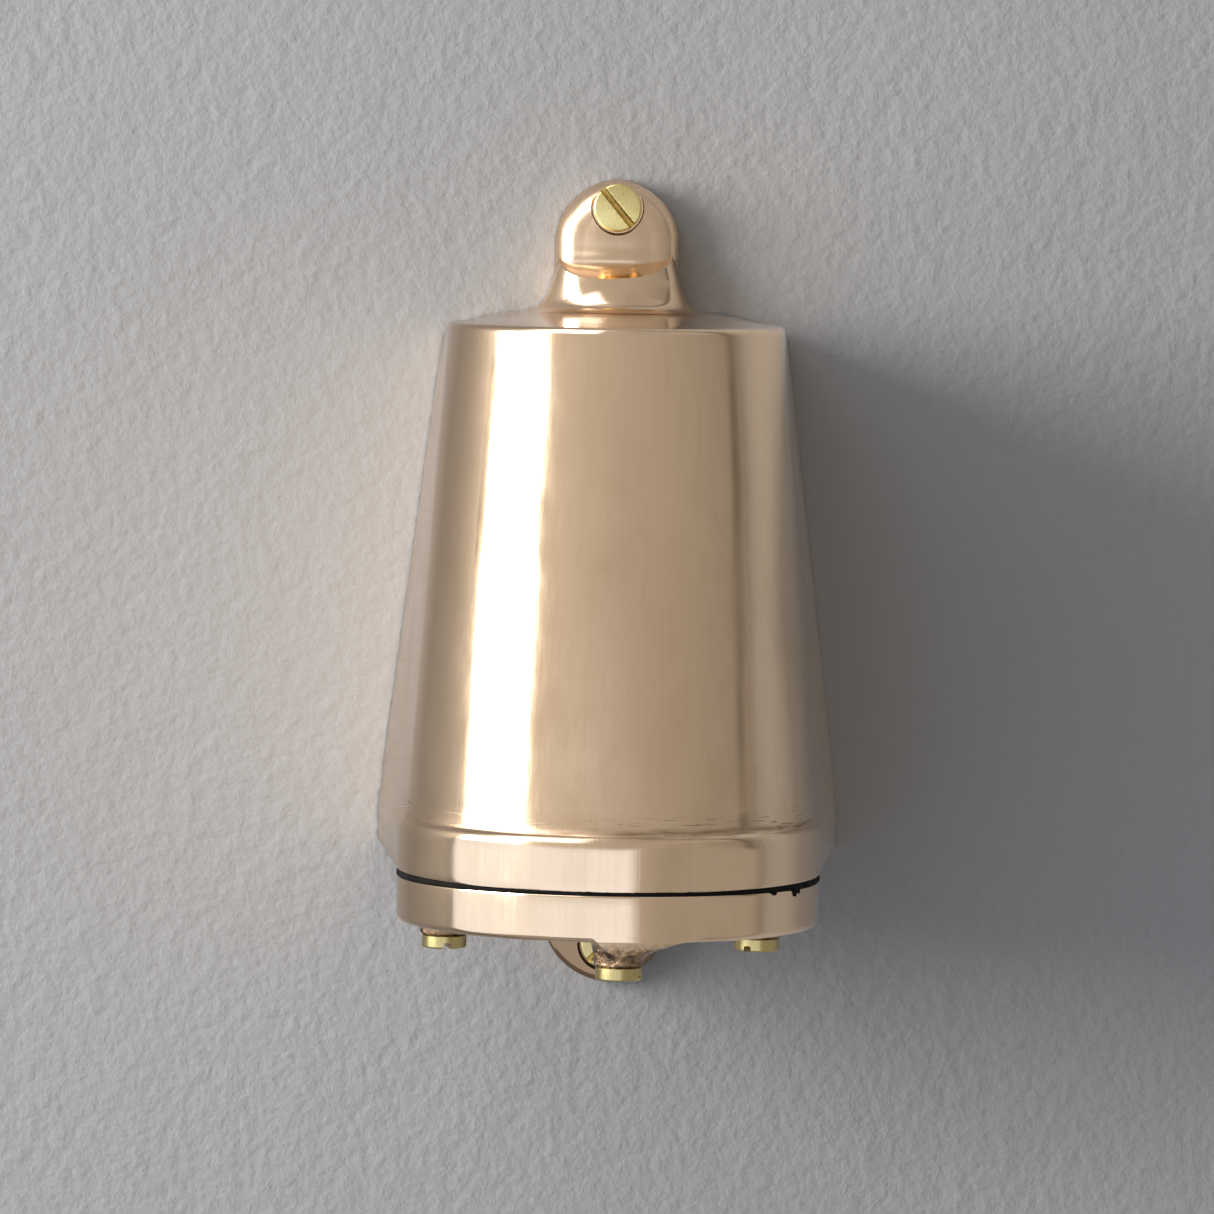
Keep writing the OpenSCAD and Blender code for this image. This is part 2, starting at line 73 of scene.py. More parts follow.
AXIS = -middle_mm("flange_gasket").y
ON_AXIS = (0, -AXIS, 0)
_, BEZEL_TOP_Z, FLANGE_Z = round_mm("flange_gasket")
BEZEL_R, BOSS_Z, _ = round_mm("bezel")
SEAL_R, LIP_Z, SEAL_TOP_Z = round_mm("lens_seal")
_, HOUSING_LOW_Z, HOUSING_TOP_Z = round_mm("housing")
BEZEL_BOTTOM_Z = LIP_Z - 2.8
BEZEL_SCREWS = {side: middle_mm(f"bezel_screw_{side}") for side in ("front", "left", "right")}
UPPER_SCREW_Z = middle_mm("upper_wall_screw").z
LOWER_SCREW_Z = middle_mm("lower_wall_screw").z
CABLE_Z = middle_mm("cable_grommet").z
BLOCK_Z = middle_mm("terminal_block").z
EARTH = middle_mm("earth_screw")
BODIES = frame["record"]["behaviour"]["bodies"]

# ---- driving dimensions, mm

RIM_Z = 51.0                 # the bell's upper edge
TOP_R, TOP_HALF_W = 31.9, 33.8
BASE_R, BASE_HALF_W = 39.2, 45.4
FLANGE_R, FLANGE_HALF_W = 40.5, 45.6
FLANGE_TOP_Z = FLANGE_Z + 9.8
COVE_H = 5.2                 # from the flange's top to where the cone starts
CROWN_H = 1.3
LUG_R = 12.2
LUG_END_POWER = 1.15         # over 1, the lugs' round ends are a little slimmer than a half circle
UPPER_LUG_T = 9.6
LOWER_LUG_T = 4.6
UPPER_LUG_Z = HOUSING_TOP_Z - LUG_R
LOWER_LUG_Z = HOUSING_LOW_Z + LUG_R
HEAD_SEAT = 2.2              # how deep the wall screws' seats are sunk
SEAT_R = 5.25
NECK_R, NECK_TOP_Z = 12.3, 59.5
NECK_SQUARE = 0.65           # how much squarer than round the neck is at its top
NECK_FLAT = 0.31             # how much flatter its front is there
NECK_FORWARD = 4.8           # how far its front arc is moved out there
LIP_RISE, LIP_HALF_H = 4.2, 2.2   # from the upper lug's foot to the swell across it, and its size
LUG_FOOT_Z = 58.6            # where the upper lug ends inside the neck
LUG_LEAN = 3.0               # degrees that the upper lug's face leans back towards its top
LEDGE_AT = (0, -11.2, 60.6)
LEDGE_TILT, LEDGE_SLANT = 34, -3   # degrees: down towards the front, and down to the left
WEB_TOP_FALL = 2.4           # how far the top drops towards the wall, beside the neck
GAP_CLOSE = 0.42             # how far flange and bezel close up on the gasket at the front
SLOW_WAVE, QUICK_WAVE = 0.26, 0.06   # height of the polished skin's waves
BACK_T = 5
MOUTH_R = 31                 # of the chamber's open lower end
CHAMBER_LOW_R = 35.4
CHAMBER_TOP_R = 28.1
CHAMBER_TOP_Z = 46
SOCKET_BOSS_R, SOCKET_BOSS_H = 5.2, 15
PILLAR_X, PILLAR_R, PILLAR_Z = 18, 4, 38
WIRING_HALF_W, WIRING_TOP_Z = 22, 41
GROMMET_R = 8
WINDOW_R = 26.5
RECESS_R = 30.5
BOSS_R = 4.7
BEZEL_HEAD_R, WALL_HEAD_R = 4.35, 4.75
M5_CLEAR_R, M5_TAP_R, M4_TAP_R, M3_TAP_R = 2.8, 2.56, 2.06, 1.56
LAMP_PITCH = 2.82
WALL_COLUMNS, ARC_COLUMNS = 14, 112   # mesh columns on each flat side of the bell and round its front

# ---- mesh tools


def new_object(name, bm, material, closed=True):
    mesh = bpy.data.meshes.new(name)
    if closed:
        bmesh.ops.recalc_face_normals(bm, faces=bm.faces)
    bm.to_mesh(mesh)
    bm.free()
    mesh.materials.append(material)
    obj = bpy.data.objects.new(name, mesh)
    bpy.context.scene.collection.objects.link(obj)
    return obj


def add_quads(bm, a, b, wrap=True):
    """Quads between two rows of vertices. wrap joins each row's end to its start."""
    for i in range(len(a) if wrap else len(a) - 1):
        j = (i + 1) % len(a)
        bm.faces.new((a[i], a[j], b[j], b[i]))


def add_rows(bm, rows, wrap):
    """Skins rows of points (mm) with quads."""
    verts = [[bm.verts.new(Vector(p) * MM) for p in row] for row in rows]
    for a, b in zip(verts, verts[1:]):
        add_quads(bm, a, b, wrap)
    return verts


def revolved(name, look, profile, centre, turns=96, reshape=None, axis="z"):
    """A closed solid of revolution. profile holds (radius, height) in mm, and may end at radius 0."""
    bm = bmesh.new()
    ends, rings = [], []
    angles = [math.tau * k / turns for k in range(turns)]
    for r, h in profile:
        if r < 1e-6:
            ends.append((len(rings), h))
            continue
        ring = [Vector((r * math.cos(a), r * math.sin(a), h)) for a in angles]
        rings.append([reshape(p, a) for p, a in zip(ring, angles)] if reshape else ring)
    verts = add_rows(bm, rings, True)
    if not ends:
        add_quads(bm, verts[-1], verts[0])
    for place, h in ends:
        tip = bm.verts.new(Vector((0, 0, h)) * MM)
        ring = verts[0] if place == 0 else verts[-1]
        for i in range(turns):
            bm.faces.new((tip, ring[i], ring[(i + 1) % turns]))
    if axis == "out":
        bmesh.ops.transform(bm, matrix=Matrix.Rotation(math.pi / 2, 4, "X"), verts=bm.verts)
    bmesh.ops.translate(bm, vec=Vector(centre) * MM, verts=bm.verts)
    return new_object(name, bm, MATERIALS[look])


def block(name, look, low, high, turn=None):
    """A plain box, for cutting only."""
    bm = bmesh.new()
    bmesh.ops.create_cube(bm, size=1)
    size = Vector(high) - Vector(low)
    bmesh.ops.scale(bm, vec=size * MM, verts=bm.verts)
    bmesh.ops.translate(bm, vec=(Vector(high) + Vector(low)) / 2 * MM, verts=bm.verts)
    if turn:
        bmesh.ops.transform(bm, matrix=turn, verts=bm.verts)
    return new_object(name, bm, MATERIALS[look])


def modify(obj, name, kind, **settings):
    step = obj.modifiers.new(name, kind)
    for key, value in settings.items():
        setattr(step, key, value)


def combine(target, others, operation):
    """Joins or cuts target with the other solids, which are used up."""
    for other in others:
        modify(target, "combine", "BOOLEAN", operation=operation, solver="EXACT", object=other,
               material_mode="TRANSFER")
        apply_modifiers(target)
        bpy.data.objects.remove(other, do_unlink=True)
    return target


def bevel(obj, name, width, segments, angle):
    """Bevels the edges that are sharper than the angle. width is in mm."""
    modify(obj, name, "BEVEL", width=width * MM, segments=segments, limit_method="ANGLE",
           angle_limit=math.radians(angle))


def soften(obj, width, segments, angle=35):
    bevel(obj, "soften", width, segments, angle)
    apply_modifiers(obj)
    return obj


def apply_modifiers(obj):
    depsgraph = bpy.context.evaluated_depsgraph_get()
    made = bpy.data.meshes.new_from_object(obj.evaluated_get(depsgraph), depsgraph=depsgraph)
    old = obj.data
    obj.modifiers.clear()
    obj.data = made
    made.name = obj.name
    bpy.data.meshes.remove(old)


def smooth(obj, angle):
    """Smooth shading that keeps edges sharper than the angle crisp."""
    bm = bmesh.new()
    bm.from_mesh(obj.data)
    bmesh.ops.remove_doubles(bm, verts=bm.verts, dist=2e-6)
    limit = math.radians(angle)
    for face in bm.faces:
        face.smooth = True
    for edge in bm.edges:
        edge.smooth = len(edge.link_faces) == 2 and edge.calc_face_angle(0) < limit
    bm.to_mesh(obj.data)
    bm.free()
    modify(obj, "weighted", "WEIGHTED_NORMAL", keep_sharp=True, weight=60)
    apply_modifiers(obj)
    return obj


def arc(centre, radius, start, end, steps):
    """Points (r, h) along an arc, with angles in degrees."""
    out = []
    for k in range(steps + 1):
        a = math.radians(start + (end - start) * k / steps)
        out.append((centre[0] + radius * math.cos(a), centre[1] + radius * math.sin(a)))
    return out


def bezier(p0, p1, p2, p3, steps):
    out = []
    for k in range(steps + 1):
        t = k / steps
        s = 1 - t
        out.append(tuple(
            s ** 3 * a + 3 * s * s * t * b + 3 * s * t * t * c + t ** 3 * d
            for a, b, c, d in zip(p0, p1, p2, p3)
        ))
    return out


# ---- materials


class Nodes:
    """A small helper that adds and links shader nodes."""

    def __init__(self, name):
        self.material = bpy.data.materials.new(name)
        self.material.use_nodes = True
        self.tree = self.material.node_tree
        self.tree.nodes.clear()
        self.output = self.add("ShaderNodeOutputMaterial")
        self.shader = self.add("ShaderNodeBsdfPrincipled")
        self.link(self.shader.outputs[0], self.output.inputs["Surface"])
        self.place = self.add("ShaderNodeTexCoord").outputs["Object"]

    def add(self, kind, inputs=(), **settings):
        node = self.tree.nodes.new(kind)
        for key, value in settings.items():
            setattr(node, key, value)
        for socket, value in dict(inputs).items():
            self.put(node.inputs[socket], value)
        return node

    def link(self, a, b):
        self.tree.links.new(a, b)

    def put(self, socket, value):
        if hasattr(value, "links"):
            self.link(value, socket)
        else:
            socket.default_value = value

    def scaled(self, size, turn=(0, 0, 0)):
        """Object coordinates, stretched by size (per metre), which is one number or three."""
        size = size if isinstance(size, tuple) else (size, size, size)
        inputs = {"Vector": self.place, "Scale": size, "Rotation": turn}
        return self.add("ShaderNodeMapping", inputs).outputs[0]

    def noise(self, size, detail=3.0, rough=0.5, distortion=0.0, turn=(0, 0, 0)):
        inputs = {"Vector": self.scaled(size, turn), "Scale": 1.0}
        inputs.update({"Detail": detail, "Roughness": rough, "Distortion": distortion})
        return self.add("ShaderNodeTexNoise", inputs).outputs["Fac"]

    def spots(self, size):
        inputs = {"Vector": self.scaled(size), "Scale": 1.0}
        return self.add("ShaderNodeTexVoronoi", inputs).outputs["Distance"]

    def ramp(self, value, low, high, from_low=0.0, from_high=1.0):
        """Goes from low to high while value goes from from_low to from_high, and stays there."""
        inputs = {"Value": value, "From Min": from_low, "From Max": from_high, "To Min": low, "To Max": high}
        return self.add("ShaderNodeMapRange", inputs).outputs[0]

    def maths(self, operation, a, b=0.0):
        return self.add("ShaderNodeMath", {0: a, 1: b}, operation=operation).outputs[0]

    def times(self, a, b):
        return self.maths("MULTIPLY", a, b)

    def plus(self, a, b):
        return self.maths("ADD", a, b)

    def colour(self, value, *stops):
        """Colour ramp, with stops of (place, rgb)."""
        node = self.add("ShaderNodeValToRGB", {0: value})
        elements = node.color_ramp.elements
        while len(elements) < len(stops):
            elements.new(0.5)
        for element, (place, rgb) in zip(elements, stops):
            element.position = place
            element.color = (*rgb, 1)
        return node.outputs[0]

    def mix(self, factor, a, b):
        a, b = (shade if hasattr(shade, "links") else (*shade, 1) for shade in (a, b))
        return self.add("ShaderNodeMix", {"Factor": factor, 6: a, 7: b}, data_type="RGBA").outputs[2]

    def bump(self, height, strength, distance, under=None):
        inputs = {"Height": height, "Strength": strength, "Distance": distance}
        if under:
            inputs["Normal"] = under
        return self.add("ShaderNodeBump", inputs).outputs[0]

    def axis_value(self, index):
        """Object coordinate x, y or z, in metres."""
        return self.add("ShaderNodeSeparateXYZ", {0: self.place}).outputs[index]

    def set(self, **values):
        for key, value in values.items():
            self.put(self.shader.inputs[key.replace("_", " ")], value)
        return self.material


BEHIND_BOSSES = (-0.022, -0.018)   # y in metres, between the bezel's bosses and the lower lug


def polished_bronze():
    n = Nodes("polished_bronze")
    height = n.axis_value(2)
    depth = n.axis_value(1)

    def level_band(z, full, none):
        """1 within full metres of the height z (mm), fading to 0 at none."""
        away = n.maths("ABSOLUTE", n.maths("SUBTRACT", height, z * MM))
        return n.ramp(away, 1.0, 0.0, full, none)

    cloud = n.noise((28, 28, 22), 2, 0.5)
    blotch = n.noise((120, 120, 60), 3, 0.55)
    colour = n.colour(cloud, (0.3, (0.82, 0.60, 0.40)), (0.7, (0.88, 0.655, 0.445)))
    colour = n.mix(n.ramp(blotch, 0.0, 0.55, 0.5, 0.75), colour, (0.74, 0.52, 0.33))
    brushed = n.ramp(n.noise((800, 800, 26), 4, 0.6), 0.0, 0.16, 0.5, 0.75)
    colour = n.mix(brushed, colour, (0.66, 0.465, 0.295))
    # Brown polish left in the cove above the flange, on the front half only
    smudge = n.ramp(n.noise((75, 75, 700), 3, 0.6), 0.0, 1.0, 0.36, 0.62)
    dirt = n.times(n.times(level_band(FLANGE_TOP_Z + 0.75, 0.0002, 0.0013), smudge),
                   n.ramp(depth, 1.0, 0.0, -0.068, -0.056))
    colour = n.mix(n.times(dirt, 0.8), colour, (0.24, 0.125, 0.055))
    # Fine level scratches just above it, further round the sides
    lines = n.ramp(n.noise((150, 150, 3400), 3, 0.65), 0.0, 1.0, 0.58, 0.65)
    scratch = n.times(n.times(lines, level_band(FLANGE_TOP_Z + 2.3, 0.0008, 0.0026)),
                      n.ramp(depth, 1.0, 0.0, -0.052, -0.040))
    colour = n.mix(n.times(scratch, 0.75), colour, (0.16, 0.08, 0.04))
    # A few small cast pits
    pits = n.ramp(n.spots((62, 62, 48)), 1.0, 0.0, 0.021, 0.03)
    colour = n.mix(n.times(pits, 0.85), colour, (0.05, 0.03, 0.02))
    # The bezel's bosses are left as cast: browner, dull and crumpled
    below_bezel = n.ramp(height, 1.0, 0.0, (BEZEL_BOTTOM_Z - 1.6) * MM, (BEZEL_BOTTOM_Z + 0.2) * MM)
    on_boss = n.times(below_bezel, n.ramp(depth, 1.0, 0.0, *BEHIND_BOSSES))
    crumple = n.noise((330, 330, 520), 5, 0.7, 1.5)
    boss_colour = n.colour(crumple, (0.38, (0.05, 0.028, 0.014)), (0.55, (0.34, 0.215, 0.12)),
                           (0.8, (0.56, 0.38, 0.235)))
    colour = n.mix(n.times(on_boss, 0.95), colour, boss_colour)
    # The lower lug is painted darker than the bell: painted shade, standing for the shadow of the body and
    # bezel above it
    lug_shade_share = n.ramp(height, 0.92, 0.0, (LOWER_LUG_Z + 4) * MM, (LOWER_LUG_Z + 9) * MM)
    lower_lug_painted_shade = n.times(lug_shade_share, n.ramp(depth, 0.0, 1.0, *BEHIND_BOSSES))
    colour = n.mix(lower_lug_painted_shade, colour, (0.25, 0.15, 0.08))
    streaks = n.noise((2400, 2400, 60), 3, 0.6)
    wiped = n.noise((240, 240, 2200), 3, 0.6)
    smear = n.noise((60, 60, 40), 4, 0.6)
    # The upper lug is hazier from hand polishing
    on_lug = n.ramp(height, 0.0, 1.0, (LUG_FOOT_Z + 2) * MM, (LUG_FOOT_Z + 5) * MM)
    rough = n.plus(n.ramp(smear, 0.07, 0.19, 0.3, 0.75), n.ramp(streaks, -0.02, 0.04, 0.3, 0.8))
    for mark, share in ((n.plus(dirt, scratch), 0.3), (pits, 0.4), (on_boss, 0.16), (on_lug, 0.13)):
        rough = n.plus(rough, n.times(mark, share))
    normal = n.bump(streaks, 0.05, 0.0001)
    normal = n.bump(wiped, 0.04, 0.0001, normal)
    normal = n.bump(n.maths("SUBTRACT", 1.0, pits), 0.4, 0.0002, normal)
    normal = n.bump(n.times(crumple, on_boss), 0.7, 0.0007, normal)
    return n.set(Base_Color=colour, Metallic=1.0, Roughness=rough, Normal=normal)


def grained(name, tint, shades, grain, rough, bump, **sockets):
    """Two close shades and a fine grain. tint and grain are noise sizes and settings, bump may be None."""
    n = Nodes(name)
    skin = n.noise(*grain)
    if bump:
        sockets["Normal"] = n.bump(skin, *bump)
    colour = n.colour(n.noise(*tint), *shades)
    return n.set(Base_Color=colour, Roughness=n.ramp(skin, *rough, 0.3, 0.7), **sockets)


def moulded(name, dark, pale, rough_low, rough_high):
    """Moulded or drawn plastic with a faint skin texture."""
    return grained(name, (90, 4, 0.6), ((0.3, dark), (0.75, pale)), (1300, 3, 0.55),
                   (rough_low, rough_high), (0.12, 0.0001))


def turned_brass():
    n = Nodes("turned_brass")
    cloud = n.noise(260, 3, 0.55)
    colour = n.colour(cloud, (0.3, (0.78, 0.62, 0.24)), (0.75, (0.88, 0.74, 0.35)))
    specks = n.ramp(n.spots(700), 1.0, 0.0, 0.10, 0.17)
    colour = n.mix(n.times(specks, 0.45), colour, (0.45, 0.33, 0.10))
    # The screws low down are browner
    low = n.ramp(n.axis_value(2), 0.6, 0.0, (BEZEL_BOTTOM_Z - 1) * MM, (BEZEL_BOTTOM_Z + 4) * MM)
    colour = n.mix(low, colour, (0.40, 0.31, 0.14))
    scratches = n.noise((5200, 900, 900), 3, 0.6, 0.0, (0.3, 0.5, 0.2))
    rough = n.ramp(scratches, 0.20, 0.34, 0.3, 0.75)
    normal = n.bump(scratches, 0.06, 0.0001)
    return n.set(Base_Color=colour, Metallic=1.0, Roughness=rough, Normal=normal)


def zinc_steel():
    n = Nodes("zinc_steel")
    spangle = n.spots(320)
    colour = n.colour(spangle, (0.1, (0.56, 0.57, 0.60)), (0.8, (0.70, 0.71, 0.72)))
    grain = n.noise((1800, 300, 1800), 3, 0.6)
    rough = n.ramp(grain, 0.26, 0.42, 0.3, 0.75)
    return n.set(Base_Color=colour, Metallic=1.0, Roughness=rough, Normal=n.bump(grain, 0.08, 0.0001))


def striped_sleeve():
    """Green sleeve with yellow stripes along it."""
    n = Nodes("lead_green")
    stripe = n.ramp(n.axis_value(0), 0.0, 1.0, 0.0112, 0.0116)
    colour = n.mix(stripe, (0.72, 0.62, 0.03), (0.07, 0.27, 0.05))
    skin = n.noise(1300, 3, 0.55)
    rough = n.ramp(skin, 0.34, 0.48, 0.3, 0.7)
    return n.set(Base_Color=colour, Roughness=rough, Normal=n.bump(skin, 0.1, 0.0001))


MATERIALS = {
    "bronze": polished_bronze(),
    "cast": grained(
        "cast_bronze", (70, 3, 0.55), ((0.3, (0.36, 0.25, 0.15)), (0.75, (0.55, 0.40, 0.26))),
        (900, 5, 0.65), (0.42, 0.68), (0.55, 0.00035), Metallic=0.9),
    "brass": turned_brass(),
    # The floor of a screw's slot, coloured darker and browner than the brass: painted shade in the recess
    "slot": grained(
        "slot_floor_painted_shade", (1400, 3, 0.6), ((0.3, (0.34, 0.22, 0.06)), (0.7, (0.72, 0.52, 0.16))),
        (1400, 3, 0.6), (0.25, 0.5), (0.15, 0.0002), Metallic=1.0),
    "steel": zinc_steel(),
    "rubber": grained(
        "black_rubber", (160, 3), ((0.3, (0.005, 0.0045, 0.004)), (0.8, (0.014, 0.012, 0.010))),
        (1500, 4, 0.6), (0.55, 0.8), (0.3, 0.0002), Specular_IOR_Level=0.08),
    "lens": grained(
        "clear_glass", (60, 2, 0.5), ((0.3, (0.93, 0.97, 0.96)), (0.7, (0.97, 0.99, 0.985))),
        (60, 2, 0.5), (0.0, 0.02), (0.03, 0.0002), Transmission_Weight=1.0, IOR=1.5),
    "bulb": grained(
        "opal_glass", (90, 3, 0.5), ((0.3, (0.90, 0.895, 0.87)), (0.7, (0.96, 0.955, 0.94))),
        (90, 3, 0.5), (0.22, 0.34), None, Subsurface_Weight=0.3, Coat_Weight=0.5),
    "phenolic": moulded("phenolic", (0.012, 0.010, 0.009), (0.035, 0.028, 0.022), 0.22, 0.36),
    "porcelain": moulded("block_plastic", (0.80, 0.78, 0.72), (0.88, 0.87, 0.83), 0.3, 0.45),
    "brown": moulded("lead_brown", (0.12, 0.045, 0.018), (0.19, 0.08, 0.035), 0.34, 0.48),
    "blue": moulded("lead_blue", (0.02, 0.07, 0.27), (0.04, 0.12, 0.38), 0.34, 0.48),
    "striped": striped_sleeve(),
}


def place(obj, node, look, angle=32):
    """Puts a finished piece in the frame: it stands for its CAD node and moves with that node's body."""
    smooth(obj, angle)
    body = next(name for name, nodes in BODIES.items() if node in nodes)
    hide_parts(node)
    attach(obj, body)


# ---- the bell's skin


def front_share(x, y):
    """1 at the very front of the bell's axis, 0 at its sides and back."""
    return max(0.0, -(y + AXIS) / max(1e-6, math.hypot(x, y + AXIS))) ** 2


def plan_curve(radius, half_w):
    """The bell seen from above at one height: wall, straight side, round front, straight side, wall."""
    reach = math.hypot(half_w, AXIS)
    straight = math.sqrt(reach * reach - radius * radius)
    lean = math.atan2(AXIS, -half_w) - math.asin(radius / reach)
    touch = (half_w + straight * math.cos(lean), straight * math.sin(lean))
    end = math.atan2(touch[1] - AXIS, touch[0])
    right = [
        (half_w + (touch[0] - half_w) * k / WALL_COLUMNS, touch[1] * k / WALL_COLUMNS)
        for k in range(WALL_COLUMNS)
    ]
    front = []
    for k in range(ARC_COLUMNS + 1):
        a = end + (math.pi - 2 * end) * k / ARC_COLUMNS
        front.append((radius * math.cos(a), AXIS + radius * math.sin(a)))
    left = [(-x, d) for x, d in reversed(right)]
    return right + front + left


def bell_r(z, base=BASE_R, top=TOP_R):
    return base + (top - base) * (z - FLANGE_TOP_Z) / (RIM_Z - FLANGE_TOP_Z)


def bell_half_w(z):
    return bell_r(z, BASE_HALF_W, TOP_HALF_W)


def ripple(x, y, z):
    """Waves that hand polishing leaves in a casting, in mm."""
    slow = noise.noise(Vector((x * 0.045, y * 0.045, z * 0.03)))
    quick = noise.noise(Vector((x * 0.11 + 7, y * 0.11, z * 0.07)))
    return SLOW_WAVE * slow + QUICK_WAVE * quick


def skin_levels():
    """(z, radius, half width at the wall) from the flange's lower edge up to the rim."""
    edge = 0.5
    levels = [
        (FLANGE_Z, FLANGE_R - edge, FLANGE_HALF_W - edge),
        (FLANGE_Z + 0.14, FLANGE_R - 0.16, FLANGE_HALF_W - 0.16),
        (FLANGE_Z + edge, FLANGE_R, FLANGE_HALF_W),
    ]
    flange_steps = 8
    for k in range(1, flange_steps + 1):
        z = FLANGE_Z + edge + (FLANGE_TOP_Z - 2.2 - FLANGE_Z - edge) * k / flange_steps
        levels.append((z, FLANGE_R, FLANGE_HALF_W))
    # The flange's shoulder rolls over and runs into the cone in a small cove
    wide, top, foot_z = FLANGE_R, FLANGE_TOP_Z, FLANGE_TOP_Z + COVE_H
    meet = (wide - 0.85, top + 0.22)
    shoulder = bezier((wide, top - 2.1), (wide, top - 0.7), (wide - 0.35, top - 0.05), meet, 9)
    foot_r = bell_r(foot_z)
    cove = bezier(meet, (wide - 1.3, top + 0.4), (bell_r(foot_z - 1.4), foot_z - 1.8), (foot_r, foot_z), 12)
    for r, z in shoulder[1:] + cove[1:]:
        share = (wide - r) / (wide - foot_r)
        levels.append((z, r, FLANGE_HALF_W + (bell_half_w(foot_z) - FLANGE_HALF_W) * share))
    cone_steps, cone_top = 60, RIM_Z - 1.3
    for k in range(1, cone_steps + 1):
        z = foot_z + (cone_top - foot_z) * k / cone_steps
        levels.append((z, bell_r(z), bell_half_w(z)))
    for inset, below in ((0.05, 0.95), (0.16, 0.62), (0.36, 0.3), (0.62, 0.1), (1.0, 0)):
        z = RIM_Z - below
        levels.append((z, bell_r(z) - inset, bell_half_w(z) - inset))
    return levels


def bell_rows():
    rows = []
    for z, r, w in skin_levels():
        row = []
        near_top = max(0.0, (z - RIM_Z + 20) / 20) ** 2
        near_gasket = max(0.0, 1 - (z - FLANGE_Z) / 2)
        for x, d in plan_curve(r, w):
            out = Vector((x, d - AXIS * min(1, d / AXIS)))
            out = out.normalized() if out.length else Vector((0, 1))
            shift = ripple(x, d, z) if d > 0.5 and z > FLANGE_TOP_Z - 2 else 0
            fall = WEB_TOP_FALL * max(0.0, 1 - d / (AXIS * 0.8)) * near_top
            fall += GAP_CLOSE * near_gasket * front_share(x, -d)
            row.append((x + out.x * shift, -(d + out.y * shift), z - fall))
        rows.append(row)
    return rows


def crown_rows(rim):
    """From the rim inwards over the crowned top, up the neck's flare, to the neck's top."""
    crown_z = RIM_Z + CROWN_H
    neck = bezier((19.4, crown_z), (14.8, crown_z + 0.1), (13.7, 55.0), (NECK_R, NECK_TOP_Z), 24)
    neck.append((NECK_R - 1.6, 66.0))
    rows = []
    flat_steps = 14
    for k in range(1, flat_steps + 1):
        u = k / flat_steps
        row = []
        for x, y, z in rim:
            a = math.atan2(x, -y)
            target = Vector((neck[0][0] * math.sin(a), -neck[0][0] * math.cos(a)))
            p = Vector((x, y)).lerp(target, u)
            row.append((p.x, p.y, z + (crown_z - z) * (1 - (1 - u) ** 1.7)))
        rows.append(row)
    for r, z in neck[1:]:
        share = min(1.0, max(0.0, (z - crown_z) / (NECK_TOP_Z - crown_z)))
        power = 2 + NECK_SQUARE * share
        row = []
        for x, y, _ in rim:
            a = math.atan2(x, -y)
            ahead = max(0.0, math.cos(a))
            squared = r / (abs(math.sin(a)) ** power + ahead ** power) ** (1 / power)
            depth = squared * ahead * (1 - NECK_FLAT * share)
            depth += NECK_FORWARD * share * math.sin(math.pi / 2 * min(1.0, ahead / 0.45))
            row.append((squared * math.sin(a), -depth, z))
        rows.append(row)
    return rows


def bell_solid():
    """Skin, crowned top, neck, flat back and underside as one closed solid."""
    bm = bmesh.new()
    rows = bell_rows()
    rows += crown_rows(rows[-1])
    verts = add_rows(bm, rows, False)
    back_edge = [row[0] for row in verts] + [row[-1] for row in reversed(verts)]
    bm.faces.new(back_edge)
    bm.faces.new(verts[-1])
    # Underside, as a fan, because the front of the lower edge dips a little
    low = verts[0]
    middle = bm.verts.new(Vector((0, -AXIS / 2, FLANGE_Z)) * MM)
    for a, b in zip(low, low[1:] + low[:1]):
        bm.faces.new((a, b, middle))
    return new_object("housing_bronze", bm, MATERIALS["bronze"])


